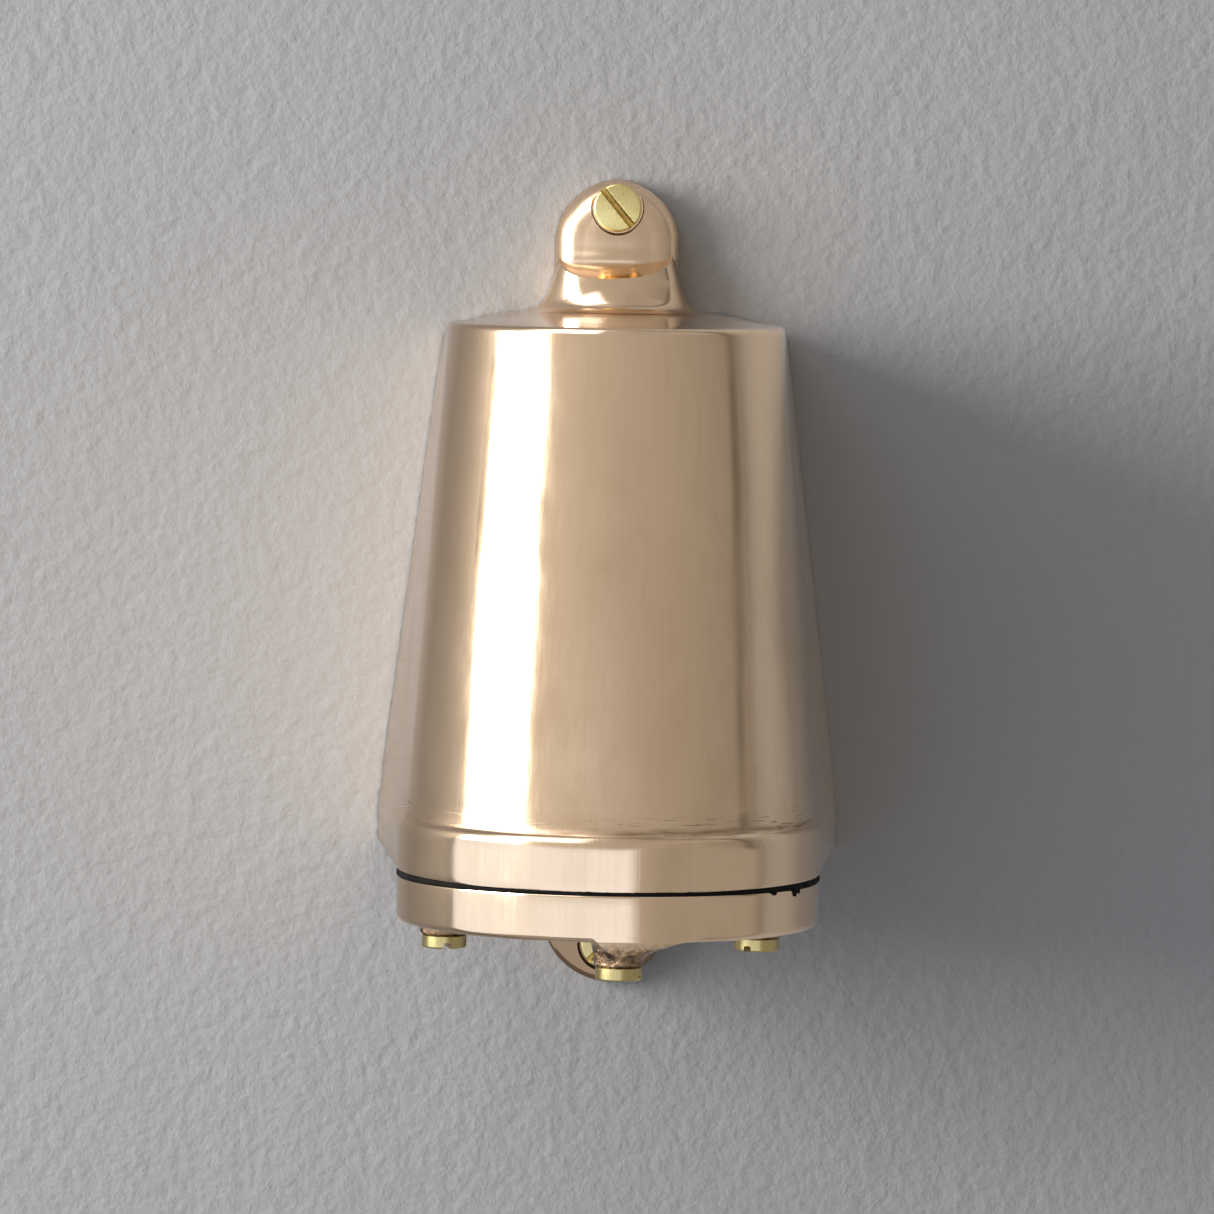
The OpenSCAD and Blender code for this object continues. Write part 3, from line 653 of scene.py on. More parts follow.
def lug_solid(name, centre_z, thickness, straight, up, edge_r, crown, lip=0.0, lean=0.0):
    """A lug with a round end, rounded front edge and slightly crowned face, with a swell (lip) across it."""
    end_steps, side_steps, edge_steps, face_steps = 48, 16, 8, 10
    # Each point of the outline, and the point of the lug's spine that it shrinks to
    drops = [-straight * k / side_steps for k in range(side_steps, 0, -1)]
    outline = [((LUG_R, z), (0, z)) for z in drops]
    for k in range(end_steps + 1):
        a = math.pi * k / end_steps
        across = math.copysign(abs(math.cos(a)) ** LUG_END_POWER, math.cos(a))
        outline.append(((LUG_R * across, LUG_R * math.sin(a)), (0, 0)))
    outline += [((-LUG_R, z), (0, z)) for z in reversed(drops)]
    # Share of that outline at each depth, over the rounded edge and the crowned face
    face = [(1.0, 0.0), (1.0, thickness - edge_r)]
    for k in range(1, edge_steps + 1):
        a = math.pi / 2 * k / edge_steps
        face.append((1 - edge_r * (1 - math.cos(a)) / LUG_R, thickness - crown - edge_r * (1 - math.sin(a))))
    inner = face[-1][0]
    for k in range(1, face_steps):
        s = inner * (1 - k / face_steps)
        face.append((s, thickness - crown * (s / inner) ** 2))
    bm = bmesh.new()
    rows = []
    for share, depth in face:
        row = []
        for (x, z), (sx, sz) in outline:
            px, pz = sx + (x - sx) * share, sz + (z - sz) * share
            wave = 0.05 * noise.noise(Vector((px * 0.2, depth * 0.1, pz * 0.2 + centre_z)))
            near_lip = min(1.0, abs(pz + straight - LIP_RISE) / LIP_HALF_H)
            swell = lip * (0.5 + 0.5 * math.cos(math.pi * near_lip)) if depth > 1 else 0.0
            back = pz * math.tan(math.radians(lean)) * max(0.0, depth - 2) / thickness
            ahead = depth + swell + (wave if depth > 1 else 0)
            row.append((px, back - ahead, centre_z + (pz if up else -pz)))
        rows.append(row)
    verts = add_rows(bm, rows, False)
    bm.faces.new(verts[0])
    spine = verts[-1]
    for k in range(len(spine) // 2):
        corners = dict.fromkeys([spine[k], spine[k + 1], spine[-2 - k], spine[-1 - k]])
        if len(corners) > 2:
            bm.faces.new(list(corners))
    side = [row[0] for row in verts] + [row[-1] for row in reversed(verts)]
    bm.faces.new(side)
    bmesh.ops.remove_doubles(bm, verts=bm.verts, dist=1e-6)
    bmesh.ops.dissolve_degenerate(bm, edges=bm.edges, dist=1e-6)
    return new_object(name, bm, MATERIALS["bronze"])


def seat_cutter(z, face_depth):
    """Sunk seat and through hole for a wall screw."""
    floor = face_depth - HEAD_SEAT
    profile = [
        (0, -2), (M5_CLEAR_R, -2), (M5_CLEAR_R, floor), (SEAT_R - 0.25, floor), (SEAT_R, floor + 0.25),
        (SEAT_R, face_depth - 0.5), (SEAT_R + 0.3, face_depth + 0.1), (SEAT_R + 0.5, face_depth + 4),
        (0, face_depth + 4),
    ]
    return revolved("seat", "bronze", profile, (0, 0, z), 72, axis="out")


def peg(radius, low, high, centre, look="cast", turns=32, axis="z"):
    """Round solid for cutting holes or leaving bosses."""
    profile = [(0, low), (radius, low), (radius, high), (0, high)]
    return revolved("peg", look, profile, centre, turns, axis=axis)


def pegs_at_screws(radius, low, high, look="cast"):
    return [peg(radius, low, high, (s.x, s.y, 0), look) for s in BEZEL_SCREWS.values()]


def pegs_at_pillars(radius, low, high):
    return [peg(radius, low, high, (x, -AXIS, 0)) for x in (-PILLAR_X, PILLAR_X)]


def inner_space():
    """The lamp's chamber with its bosses left standing, joined to the wiring space behind it."""
    low = FLANGE_Z
    profile = [(0, low - 2), (MOUTH_R, low - 2), (MOUTH_R, low + 3.6)]
    profile += [(MOUTH_R + 0.6, low + 4.3), (CHAMBER_LOW_R, low + 7), (CHAMBER_LOW_R, low + 9)]
    profile += arc((CHAMBER_TOP_R - 3, CHAMBER_TOP_Z - 3), 3, 5, 90, 6)
    profile.append((0, CHAMBER_TOP_Z))
    chamber = revolved("chamber", "cast", profile, ON_AXIS, 120)
    left_standing = pegs_at_screws(SOCKET_BOSS_R, low - 4, low + SOCKET_BOSS_H)
    left_standing += pegs_at_pillars(PILLAR_R, PILLAR_Z, CHAMBER_TOP_Z + 5)
    combine(chamber, left_standing, "DIFFERENCE")
    wiring_low, wiring_high = (-WIRING_HALF_W, 8 - AXIS, low + 5), (WIRING_HALF_W, -BACK_T, WIRING_TOP_Z)
    wiring = soften(block("wiring", "cast", wiring_low, wiring_high), 1.5, 3)
    return combine(chamber, [wiring], "UNION")


def housing_piece():
    bell = bell_solid()
    # The neck's top is cut off by a slanting ledge that runs up to the lug's face
    ledge = Matrix.Translation(Vector(LEDGE_AT) * MM)
    ledge = ledge @ Matrix.Rotation(math.radians(LEDGE_SLANT), 4, "Y")
    ledge = ledge @ Matrix.Rotation(math.radians(LEDGE_TILT), 4, "X")
    combine(bell, [block("ledge", "bronze", (-30, -6, 0), (30, 30, 20), ledge)], "DIFFERENCE")
    upper = lug_solid("upper_lug", UPPER_LUG_Z, UPPER_LUG_T, UPPER_LUG_Z - LUG_FOOT_Z, up=True,
                      edge_r=5.2, crown=0.8, lip=0.24, lean=LUG_LEAN)
    lower = lug_solid("lower_lug", LOWER_LUG_Z, LOWER_LUG_T, FLANGE_Z + 3 - LOWER_LUG_Z, up=False,
                      edge_r=1.5, crown=0.15)
    combine(bell, [upper, lower], "UNION")
    combine(bell, [inner_space()], "DIFFERENCE")
    holes = [seat_cutter(UPPER_SCREW_Z, UPPER_LUG_T), seat_cutter(LOWER_SCREW_Z, LOWER_LUG_T)]
    holes += pegs_at_screws(M5_TAP_R, FLANGE_Z - 2, FLANGE_Z + 13)
    holes += pegs_at_pillars(M3_TAP_R, PILLAR_Z - 1, PILLAR_Z + 7)
    holes.append(peg(GROMMET_R, -1, BACK_T + 1, (0, 0, CABLE_Z), turns=64, axis="out"))
    holes += [peg(M3_TAP_R, 1.5, BACK_T + 1, (x, 0, BLOCK_Z), axis="out") for x in (-5, 5)]
    holes.append(peg(M4_TAP_R, 1, BACK_T + 1, (EARTH.x, 0, EARTH.z), axis="out"))
    return combine(bell, holes, "DIFFERENCE")


place(housing_piece(), "housing", "bronze")

# ---- gasket and bezel


def gasket_piece():
    """Cut ring of rubber, squeezed unevenly, with crumbs hanging from its edge on the right."""
    crumbs = [(-39.5, 0.7, 0.016), (-29.5, 1.35, 0.012), (-27.6, 0.9, 0.009)]   # degrees, mm, radians
    edge = BEZEL_R + 0.12
    profile = [
        (MOUTH_R, BEZEL_TOP_Z), (MOUTH_R, FLANGE_Z), (edge - 2, FLANGE_Z), (edge - 0.1, FLANGE_Z),
        (edge, FLANGE_Z - 0.15), (edge + 0.05, FLANGE_Z - 0.6), (edge, BEZEL_TOP_Z + 0.15),
        (edge - 0.1, BEZEL_TOP_Z), (edge - 2, BEZEL_TOP_Z),
    ]

    def squeeze(p, a):
        close = GAP_CLOSE * front_share(p.x, p.y - AXIS)
        top = p.z > (FLANGE_Z + BEZEL_TOP_Z) / 2
        r = math.hypot(p.x, p.y)
        at_edge = r > edge - 0.5
        spread = 0.14 * noise.noise(Vector((p.x * 0.35, p.y * 0.35, 3))) if at_edge else 0
        fringe = 0.10 * noise.noise(Vector((p.x * 1.7, p.y * 1.7, 9))) if at_edge else 0
        out = Vector((p.x, p.y, 0)) / r
        z = p.z - close if top else p.z + close
        if at_edge and not top:
            z += fringe
            for angle, drop, width in crumbs:
                away = (a - math.radians(angle) % math.tau) / width
                z -= drop * math.exp(-away * away)
                spread += 0.25 * math.exp(-away * away)
        return p + out * (spread + fringe) + Vector((0, 0, z - p.z))

    ring = revolved("flange_gasket_rubber", "rubber", profile, ON_AXIS, 720, squeeze)
    return combine(ring, pegs_at_screws(M5_CLEAR_R, BEZEL_TOP_Z - 2, FLANGE_Z + 2, "rubber"), "DIFFERENCE")


def boss_solid(screw, widen_left, widen_right, flare):
    """Screw boss under the bezel, whose root flares out, more along the rim than across it."""
    low, root = BOSS_Z, BEZEL_BOTTOM_Z
    wide = BOSS_R + flare
    profile = [(0, low), (BOSS_R - 0.5, low), (BOSS_R - 0.15, low + 0.15), (BOSS_R, low + 0.5)]
    profile += bezier((BOSS_R, low + (root + 1.2 - low) * 0.2), (BOSS_R + 0.2, root - 2.2),
                      (BOSS_R + flare * 0.35, root - 0.5), (wide, root + 1.15), 14)
    profile += [(wide, root + 2.2), (0, root + 2.2)]
    facing = math.atan2(screw.y + AXIS, screw.x)

    def widen(p, a):
        along = -math.sin(a - facing)
        r = math.hypot(p.x, p.y)
        extra = max(0.0, r - BOSS_R)
        factor = 1 + along * along * ((widen_left if along > 0 else widen_right) - 1)
        rough = 0.12 * noise.noise(p * 0.9 + Vector((screw.x, 0, 0))) * min(1, extra + 0.3)
        widened = r - extra + extra * factor + rough
        return Vector((math.cos(a), math.sin(a), 0)) * widened + Vector((0, 0, p.z))

    boss = revolved("boss", "bronze", profile, (screw.x, screw.y, 0), 96, widen)
    return combine(boss, [peg(BEZEL_R - 0.12, low - 2, root + 2.4, ON_AXIS, "bronze", 240)], "INTERSECT")


def bezel_piece():
    edge = 1.3
    low, high = BEZEL_BOTTOM_Z, BEZEL_TOP_Z
    profile = [(RECESS_R, high), (BEZEL_R - 0.4, high), (BEZEL_R - 0.12, high - 0.12)]
    profile += [(BEZEL_R, high - 0.4), (BEZEL_R, high - 2.5), (BEZEL_R, high - 5)]
    profile += arc((BEZEL_R - edge, low + edge), edge, 0, -90, 7)
    profile += [(WINDOW_R + 4, low), (WINDOW_R + 1.6, low), (WINDOW_R + 0.5, low + 0.35)]
    profile += [(WINDOW_R, low + 1.1), (WINDOW_R, LIP_Z), (RECESS_R, LIP_Z)]

    def settle(p, a):
        r = math.hypot(p.x, p.y)
        near_top = max(0.0, 1 - (high - p.z) / 2)
        lift = GAP_CLOSE * near_top * front_share(p.x, p.y - AXIS)
        under = p.z < low + 0.2
        wavy = 0.10 * noise.noise(Vector((p.x * 0.09, p.y * 0.09, 5))) if under else 0
        shift = 0.05 * noise.noise(Vector((p.x * 0.06, p.y * 0.06, p.z * 0.1))) if r > BEZEL_R - 1 else 0
        return p * (1 + shift / r) + Vector((0, 0, lift + wavy - p.z * shift / r))

    ring = revolved("bezel_bronze", "bronze", profile, ON_AXIS, 240, settle)
    bosses = [boss_solid(BEZEL_SCREWS["front"], widen_left=0.25, widen_right=2.9, flare=4.4)]
    for side in ("left", "right"):
        bosses.append(boss_solid(BEZEL_SCREWS[side], widen_left=1.5, widen_right=1.5, flare=1.6))
    combine(ring, bosses, "UNION")
    passages = pegs_at_screws(M5_CLEAR_R, BOSS_Z - 2, high + 2, "bronze")
    window = peg(WINDOW_R - 0.01, BOSS_Z - 2, low + 2, ON_AXIS, "bronze", 240)
    return combine(ring, passages + [window], "DIFFERENCE")


place(gasket_piece(), "flange_gasket", "rubber", 50)
place(bezel_piece(), "bezel", "bronze", 34)

# ---- screws


def slotted_screw(name, head_r, head_h, dome, shank_r, shank_h, pitch, plain, point, slot_w, slot_angle):
    """Screw along z: its head ends at -head_h, its shank at shank_h. The thread starts at plain."""
    rim = 0.45
    profile = [(0, -head_h)]
    profile += [((head_r - rim) * k / 6, -head_h + dome * (k / 6) ** 2) for k in range(1, 7)]
    profile += arc((head_r - rim, -head_h + dome + rim), rim, -75, 0, 4)
    profile += [(head_r, -0.25), (head_r - 0.2, 0), (shank_r, 0)]
    depth = min(0.36 * pitch, 0.75)
    steps = max(2, round((shank_h - plain) / pitch * 8))
    profile.append((shank_r, plain))
    for k in range(1, steps + 1):
        z = plain + (shank_h - plain) * k / steps
        r = shank_r if z < shank_h - point else max(0.35, shank_r * (shank_h - z) / point)
        profile.append((r, z))
    profile.append((0, shank_h))

    def thread(p, a):
        if p.z <= plain:
            return p
        r = math.hypot(p.x, p.y)
        share = (p.z / pitch - a / math.tau) % 1.0
        ridge = 1 - abs(2 * share - 1)
        fade = min(1.0, (p.z - plain) / pitch, (shank_h - p.z) / (0.5 * pitch) + 0.15)
        cut = depth * (1 - ridge) * fade * min(1.0, r / shank_r)
        return Vector((p.x, p.y, 0)) * ((r - cut) / r) + Vector((0, 0, p.z))

    body = revolved(name, "brass", profile, (0, 0, 0), 64, thread)
    turn = Matrix.Rotation(math.radians(slot_angle), 4, "Z")
    slot_low, slot_high = (-head_r - 1, -slot_w / 2, -head_h - 1), (head_r + 1, slot_w / 2, 1.35 - head_h)
    # The slot's faces take the darker slot material: painted shade on its floor
    slot = soften(block("slot", "slot", slot_low, slot_high, turn), 0.45, 4)
    combine(body, [slot], "DIFFERENCE")
    return soften(body, 0.07, 2, 50)


def wall_screw_piece(name, z, lug_t, slot_angle):
    grip = lug_t - HEAD_SEAT
    screw = slotted_screw(name, WALL_HEAD_R, head_h=3.0, dome=0.2, shank_r=2.4, shank_h=grip + 30, pitch=2.1,
                          plain=grip + 4, point=8, slot_w=1.25, slot_angle=slot_angle)
    outwards = Matrix.Rotation(-math.pi / 2, 4, "X")
    screw.data.transform(Matrix.Translation(Vector((0, -grip, z)) * MM) @ outwards)
    return screw


def bezel_screw_piece(name, at, slot_angle):
    _, _, top_z = round_mm("bezel_screw_front")
    screw = slotted_screw(name, BEZEL_HEAD_R, head_h=2.75, dome=0.15, shank_r=2.48, shank_h=top_z - BOSS_Z,
                          pitch=0.8, plain=6, point=0.8, slot_w=1.5, slot_angle=slot_angle)
    screw.data.transform(Matrix.Translation(Vector((at.x, at.y, BOSS_Z - 0.05)) * MM))
    return screw


WALL_SCREWS = {"upper": (UPPER_SCREW_Z, UPPER_LUG_T, 50), "lower": (LOWER_SCREW_Z, LOWER_LUG_T, -45)}
for side, (screw_z, lug_t, slot_angle) in WALL_SCREWS.items():
    piece = wall_screw_piece(f"{side}_wall_screw_brass", screw_z, lug_t, slot_angle)
    place(piece, f"{side}_wall_screw", "brass")
SLOT_ANGLES = {"front": -22, "left": 100, "right": 62}
for side, screw_place in BEZEL_SCREWS.items():
    piece = bezel_screw_piece(f"bezel_screw_{side}_brass", screw_place, SLOT_ANGLES[side])
    place(piece, f"bezel_screw_{side}", "brass")

# ---- lens


def lens_piece():
    r, low, high = round_mm("lens_glass")
    edge = 0.4
    profile = [(0, low), (r * 0.5, low), (r - edge, low)] + arc((r - edge, low + edge), edge, -90, 0, 4)
    profile += arc((r - edge, high - edge), edge, 0, 90, 4) + [(r * 0.5, high), (0, high)]
    return revolved("lens_glass_disc", "lens", profile, ON_AXIS, 160)


def ring_section(name, look, in_r, out_r, low, high, edge):
    """Flat ring with rounded edges."""
    left, right, bottom, top = in_r + edge, out_r - edge, low + edge, high - edge
    profile = arc((left, bottom), edge, 180, 270, 4) + arc((right, bottom), edge, 270, 360, 4)
    profile += arc((right, top), edge, 0, 90, 4) + arc((left, top), edge, 90, 180, 4)
    return revolved(name, look, profile, ON_AXIS, 160)


def lens_ring_piece():
    out_r, low, high = round_mm("lens_ring")
    ring = ring_section("lens_ring_brass", "brass", WINDOW_R, out_r, low, high, 0.25)
    inner = WINDOW_R + 1.4
    notches = [
        block("notch", "brass", (x, -AXIS - 1.5, low - 1), (x + out_r - inner, 1.5 - AXIS, high + 1))
        for x in (-out_r, inner)
    ]
    return combine(ring, notches, "DIFFERENCE")


place(lens_piece(), "lens_glass", "lens")
seal = ring_section("lens_seal_rubber", "rubber", WINDOW_R + 0.6, SEAL_R, LIP_Z, SEAL_TOP_Z, 0.3)
place(seal, "lens_seal", "rubber")
place(lens_ring_piece(), "lens_ring", "brass")

# ---- lamp


def bulb_piece():
    r, low, _ = round_mm("lamp_bulb")
    _, cap_low, _ = round_mm("lamp_cap")
    profile = [(0, low)] + arc((0, low + r), r, -87, 46, 44)
    globe_r, globe_z = profile[-1]
    profile += bezier((globe_r, globe_z), (globe_r - 5.2, globe_z + 5.0),
                      (6.7, cap_low - 8), (6.3, cap_low + 0.4), 12)[1:]
    profile += [(5.9, cap_low + 1.4), (0, cap_low + 1.4)]
    return revolved("lamp_bulb_opal", "bulb", profile, ON_AXIS, 128)


def cap_piece():
    """Rolled thread of the lamp's cap."""
    r, low, high = round_mm("lamp_cap")
    depth = 0.7
    rings = 72
    profile = [(0, low + 0.1), (r - 0.35, low + 0.1)]
    profile += [(r, low + 0.3 + (high - low - 0.9) * k / rings) for k in range(rings + 1)]
    profile += [(r - 0.9, high - 0.2), (r - 1.6, high), (0, high)]

    def roll(p, a):
        radius = math.hypot(p.x, p.y)
        if radius < r - 0.1:
            return p
        wave = 0.5 - 0.5 * math.cos(math.tau * (p.z / LAMP_PITCH - a / math.tau))
        fade = min(1.0, (p.z - low - 0.3) / 2.5)
        return Vector((p.x, p.y, 0)) * ((radius - depth * (1 - wave) * fade) / radius) + Vector((0, 0, p.z))

    return revolved("lamp_cap_steel", "steel", profile, ON_AXIS, 96, roll)


def tip_piece():
    r, low, high = round_mm("lamp_tip")
    profile = [(0, low), (r, low)] + arc((r - 1.0, high - 1.0), 1.0, 0, 90, 6) + [(0, high)]
    return revolved("lamp_tip_solder", "steel", profile, ON_AXIS, 48)


def insulator_piece():
    r, low, high = round_mm("lamp_insulator")
    side = bezier((r, low + 0.2), (r - 0.1, low + 1.4), (4.6, high - 0.5), (3.2, high), 8)
    profile = [(0, low), (r - 0.2, low)] + side + [(0, high)]
    return revolved("lamp_insulator_glass", "phenolic", profile, ON_AXIS, 64)


place(bulb_piece(), "lamp_bulb", "bulb")
place(cap_piece(), "lamp_cap", "steel", 50)
place(tip_piece(), "lamp_tip", "steel")
place(insulator_piece(), "lamp_insulator", "phenolic")

# ---- leads

LEAD_R = 1.2
LIVE_ROUTE = [
    (-10, 11, 18), (-10, 11, 21), (-10, 11.5, 24), (-9.5, 13, 27), (-9, 16, 29.6), (-8, 20, 31),
    (-7, 25, 31.4), (-6, 30, 31.2), (-6, 34, 31), (-6, 37.6, 31),
]
NEUTRAL_ROUTE = [
    (0, 11, 18), (0, 11, 21), (0, 11.5, 24), (0.5, 13, 27), (1.5, 16, 29.6), (3, 20, 31),
    (4.5, 25, 31.4), (6, 30, 31.2), (6, 34, 31), (6, 37.6, 31),
]
EARTH_ROUTE = [
    (10, 11, 18), (10, 11, 20.5), (10.3, 10.4, 23), (11.2, 8.6, 24.8), (11.9, 7.6, 26.4), (12, 7.4, 27.4),
    (12, 7.4, 28.6),
]


def spline(points, steps):
    """Smooth curve through every point."""
    out = []
    for i in range(len(points) - 1):
        a, b = points[i], points[i + 1]
        before = points[max(i - 1, 0)]
        after = points[min(i + 2, len(points) - 1)]
        for k in range(steps):
            t = k / steps
            out.append(0.5 * ((2 * a) + (b - before) * t + (2 * before - 5 * a + 4 * b - after) * t * t
                              + (3 * a - before - 3 * b + after) * t ** 3))
    return out + [points[-1]]


def lead_piece(name, route, look, sides=20):
    path = spline([Vector((x, -depth, z)) for x, depth, z in route], 6)
    angles = [math.tau * k / sides for k in range(sides)]
    bm = bmesh.new()
    rows = []
    for i, p in enumerate(path):
        along = (path[min(i + 1, len(path) - 1)] - path[max(i - 1, 0)]).normalized()
        side = along.cross(Vector((1, 0.1, 0))).normalized()
        up = side.cross(along)
        ends = 0.82 if i in (0, len(path) - 1) else 1.0
        rows.append([p + (side * math.cos(a) + up * math.sin(a)) * (LEAD_R - 0.03) * ends for a in angles])
    verts = add_rows(bm, rows, True)
    bm.faces.new(verts[0])
    bm.faces.new(list(reversed(verts[-1])))
    return new_object(name, bm, MATERIALS[look])


LEADS = {"live": (LIVE_ROUTE, "brown"), "neutral": (NEUTRAL_ROUTE, "blue"), "earth": (EARTH_ROUTE, "striped")}
for wire, (route, lead_look) in LEADS.items():
    place(lead_piece(f"{wire}_lead_sleeve", route, lead_look), f"{wire}_lead", lead_look)

# ---- CAD nodes that stay

KEPT_NODES = {
    "steel": ("holder_bracket", "bracket_screws", "holder_screws", "block_screws", "earth_tag"),
    "phenolic": ("lampholder",),
    "brass": ("holder_shell", "holder_contact", "holder_terminals", "terminal_screws", "earth_screw"),
    "rubber": ("cable_grommet",),
    "porcelain": ("terminal_block",),
}
EDGE_SOFTENING = {"terminal_block": 0.35, "lampholder": 0.3, "cable_grommet": 0.4, "holder_bracket": 0.25}


def finish_cad_node(node, look):
    obj = frame["nodes"][node]
    obj.data.materials.clear()
    obj.data.materials.append(MATERIALS[look])
    modify(obj, "weld", "WELD", merge_threshold=2e-6)
    bevel(obj, "soft_edges", EDGE_SOFTENING.get(node, 0.1), 2, 40)
    modify(obj, "weighted", "WEIGHTED_NORMAL", keep_sharp=True)


for kept_look, kept_nodes in KEPT_NODES.items():
    for kept_node in kept_nodes:
        finish_cad_node(kept_node, kept_look)

# ---- light, camera and stage

SOFTBOX_AT, SOFTBOX_AIM, SOFTBOX_SIZE = (-1.15, -0.52, 0.27), (0, -0.04, 0.20), (0.84, 0.58)
SOFTBOX_WATTS, SOFTBOX_COLOUR = 24.5, (1.0, 0.99, 0.98)
CAMERA_AT, CAMERA_AIM = (-0.010, -1.410, 0.080), (-0.0007, 0, -0.0062)
CAMERA_LENS, CAMERA_ROLL = 211, 1.0


def stage_object(name, data, at):
    obj = bpy.data.objects.new(name, data)
    obj.location = at
    bpy.context.scene.collection.objects.link(obj)
    return obj


def look_along(start, end):
    return (Vector(end) - Vector(start)).to_track_quat("-Z", "Y")


light = bpy.data.lights.new("softbox_left", "AREA")
light.shape = "RECTANGLE"
light.size, light.size_y = SOFTBOX_SIZE
light.energy = SOFTBOX_WATTS
light.color = SOFTBOX_COLOUR
softbox = stage_object("softbox_left", light, SOFTBOX_AT)
softbox.rotation_euler = look_along(SOFTBOX_AT, SOFTBOX_AIM).to_euler()
softbox.visible_camera = False

camera_data = bpy.data.cameras.new("camera")
camera_data.sensor_width = 36
camera_data.lens = CAMERA_LENS
camera = stage_object("camera", camera_data, CAMERA_AT)
camera.rotation_mode = "QUATERNION"
roll = Matrix.Rotation(math.radians(CAMERA_ROLL), 4, "Z").to_quaternion()
camera.rotation_quaternion = look_along(camera.location, CAMERA_AIM) @ roll
bpy.context.scene.camera = camera


class RoomNodes(Nodes):
    """The same helper on the world's shader, with the direction of view as azimuth and elevation."""

    def __init__(self, world):
        world.use_nodes = True
        self.tree = world.node_tree
        self.background = self.tree.nodes["Background"]
        split = self.add("ShaderNodeSeparateXYZ", {0: self.add("ShaderNodeTexCoord").outputs["Generated"]})
        ahead = self.times(split.outputs[1], -1.0)
        self.azimuth = self.times(self.maths("ARCTAN2", split.outputs[0], ahead), math.degrees(1))
        self.elevation = self.times(self.maths("ARCSINE", split.outputs[2]), math.degrees(1))

    def panel(self, azimuth, elevation, soft):
        """1 inside a range of azimuth and elevation in degrees, with soft edges."""
        out = None
        for value, (low, high) in ((self.azimuth, azimuth), (self.elevation, elevation)):
            for edge, start in ((low, 0.0), (high, 1.0)):
                step = self.ramp(value, start, 1 - start, edge - soft / 2, edge + soft / 2)
                out = step if out is None else self.times(out, step)
        return out


# Pale room that the polished metal mirrors: dimmer to the right, with bright panels low and high
ROOM_BOUNCE = 0.48
ROOM_TONES = [(0.0, (0.80, 0.785, 0.765)), (0.42, (0.50, 0.485, 0.465)), (1.0, (0.27, 0.26, 0.25))]
ROOM_PANELS = [
    ((-97, 14), (-40, -0.8), 7, (1.08, 1.20, 1.42)),
    ((24, 88), (-40, 0.2), 7, (0.40, 0.39, 0.38)),
    ((80, 87), (1, 90), 4, (0.17, 0.16, 0.15)),
    ((-76, -16), (24, 70), 8, (2.6, 2.7, 3.0)),
    ((12, 80), (26, 62), 3, (0.45, 0.44, 0.43)),
]
studio = bpy.data.worlds.new("studio")
room = RoomNodes(studio)
room_colour = room.colour(room.ramp(room.azimuth, 0.0, 1.0, -60, 100), *ROOM_TONES)
for azimuth, elevation, soft, tone in ROOM_PANELS:
    room_colour = room.mix(room.panel(azimuth, elevation, soft), room_colour, tone)
room.link(room_colour, room.background.inputs[0])
# The room's bounced light is weaker than what the metal mirrors, so that the softbox shapes the wall
diffuse = room.add("ShaderNodeLightPath").outputs["Is Diffuse Ray"]
room.link(room.ramp(diffuse, 1.0, ROOM_BOUNCE), room.background.inputs[1])
bpy.context.scene.world = studio
bpy.context.scene.view_settings.view_transform = "Standard"


def stage_plane(name, corners, material, hole=None):
    """A flat sheet whose corners run anticlockwise, seen from its front. A hole has as many corners."""
    bm = bmesh.new()
    outer = [bm.verts.new(c) for c in corners]
    if hole:
        add_quads(bm, outer, [bm.verts.new(c) for c in hole])
    else:
        bm.faces.new(outer)
    new_object(name, bm, material, False)


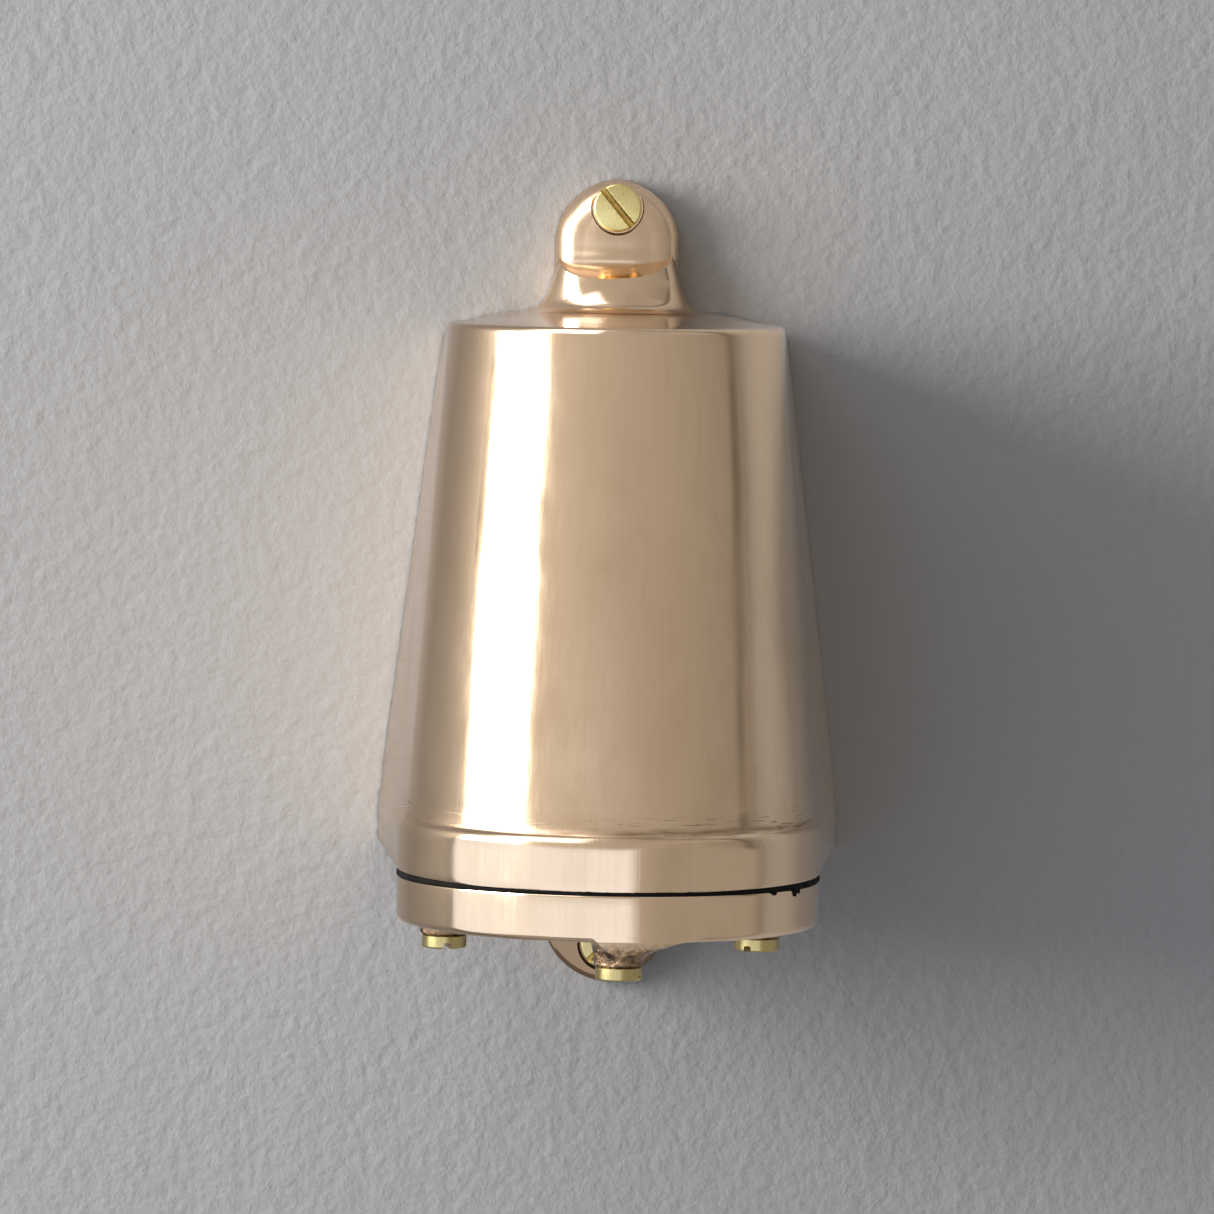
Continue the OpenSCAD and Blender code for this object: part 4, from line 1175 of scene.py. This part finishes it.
def back_outline():
    """The housing's outline on the wall, a little inside it, anticlockwise from its lowest point."""
    inset = 0.9
    lug = LUG_R - inset
    right = [(r, LOWER_LUG_Z + z) for r, z in arc((0, 0), lug, -90, 0, 10)]
    base = BASE_HALF_W - inset
    right += [(lug, FLANGE_Z + inset), (base, FLANGE_Z + inset), (base, FLANGE_TOP_Z)]
    right += [(TOP_HALF_W - inset, RIM_Z - WEB_TOP_FALL - inset), (20, RIM_Z - inset)]
    right += [(14.2, 53.5), (NECK_R - inset, 58)]
    right += [(r, UPPER_LUG_Z + z) for r, z in arc((0, 0), lug, 0, 90, 10)]
    return right + [(-x, z) for x, z in reversed(right[1:-1])]


def plaster():
    n = Nodes("plaster_wall")
    orange_peel = n.noise(330, 4, 0.6)
    lumps = n.noise(70, 2, 0.5)
    colour = n.colour(n.noise(6, 3), (0.3, (0.345, 0.342, 0.336)), (0.7, (0.37, 0.366, 0.36)))
    # Mirrored in the metal, the wall near the softbox is toned down and the shaded side lifted
    mirrored = n.add("ShaderNodeLightPath").outputs["Is Glossy Ray"]
    along = n.ramp(n.axis_value(0), 0.0, 1.0, -0.6, 0.1)
    tone = n.colour(along, (0.0, (0.05, 0.05, 0.05)), (0.72, (0.19, 0.19, 0.19)), (1.0, (0.56, 0.56, 0.56)))
    colour = n.mix(mirrored, colour, tone)
    normal = n.bump(lumps, 0.14, 0.002)
    n.set(Base_Color=colour, Roughness=0.75, Normal=n.bump(orange_peel, 0.65, 0.0007, normal))
    from_behind = n.add("ShaderNodeNewGeometry").outputs["Backfacing"]
    clear = n.add("ShaderNodeBsdfTransparent").outputs[0]
    see_through = n.add("ShaderNodeMixShader", {0: from_behind, 1: n.shader.outputs[0], 2: clear})
    n.link(see_through.outputs[0], n.output.inputs["Surface"])
    return n.material


def pale_floor():
    n = Nodes("pale_floor")
    colour = n.colour(n.noise(3, 3), (0.3, (0.62, 0.61, 0.59)), (0.7, (0.66, 0.65, 0.63)))
    return n.set(Base_Color=colour, Roughness=0.6)


WALL_Y, FLOOR_Z = 0.0004, -2.4
# The round wall is open behind the housing, where only a view from the back shows it
hidden = [Vector((x * MM, WALL_Y, z * MM)) for x, z in back_outline()]
reach = [Vector((c.x, 0, c.z)).normalized() * -FLOOR_Z + Vector((0, WALL_Y, 0)) for c in hidden]
stage_plane("wall", reach, plaster(), hidden)
stage_plane("floor", [(-3, -3, FLOOR_Z), (3, -3, FLOOR_Z), (3, 3, FLOOR_Z), (-3, 3, FLOOR_Z)], pale_floor())
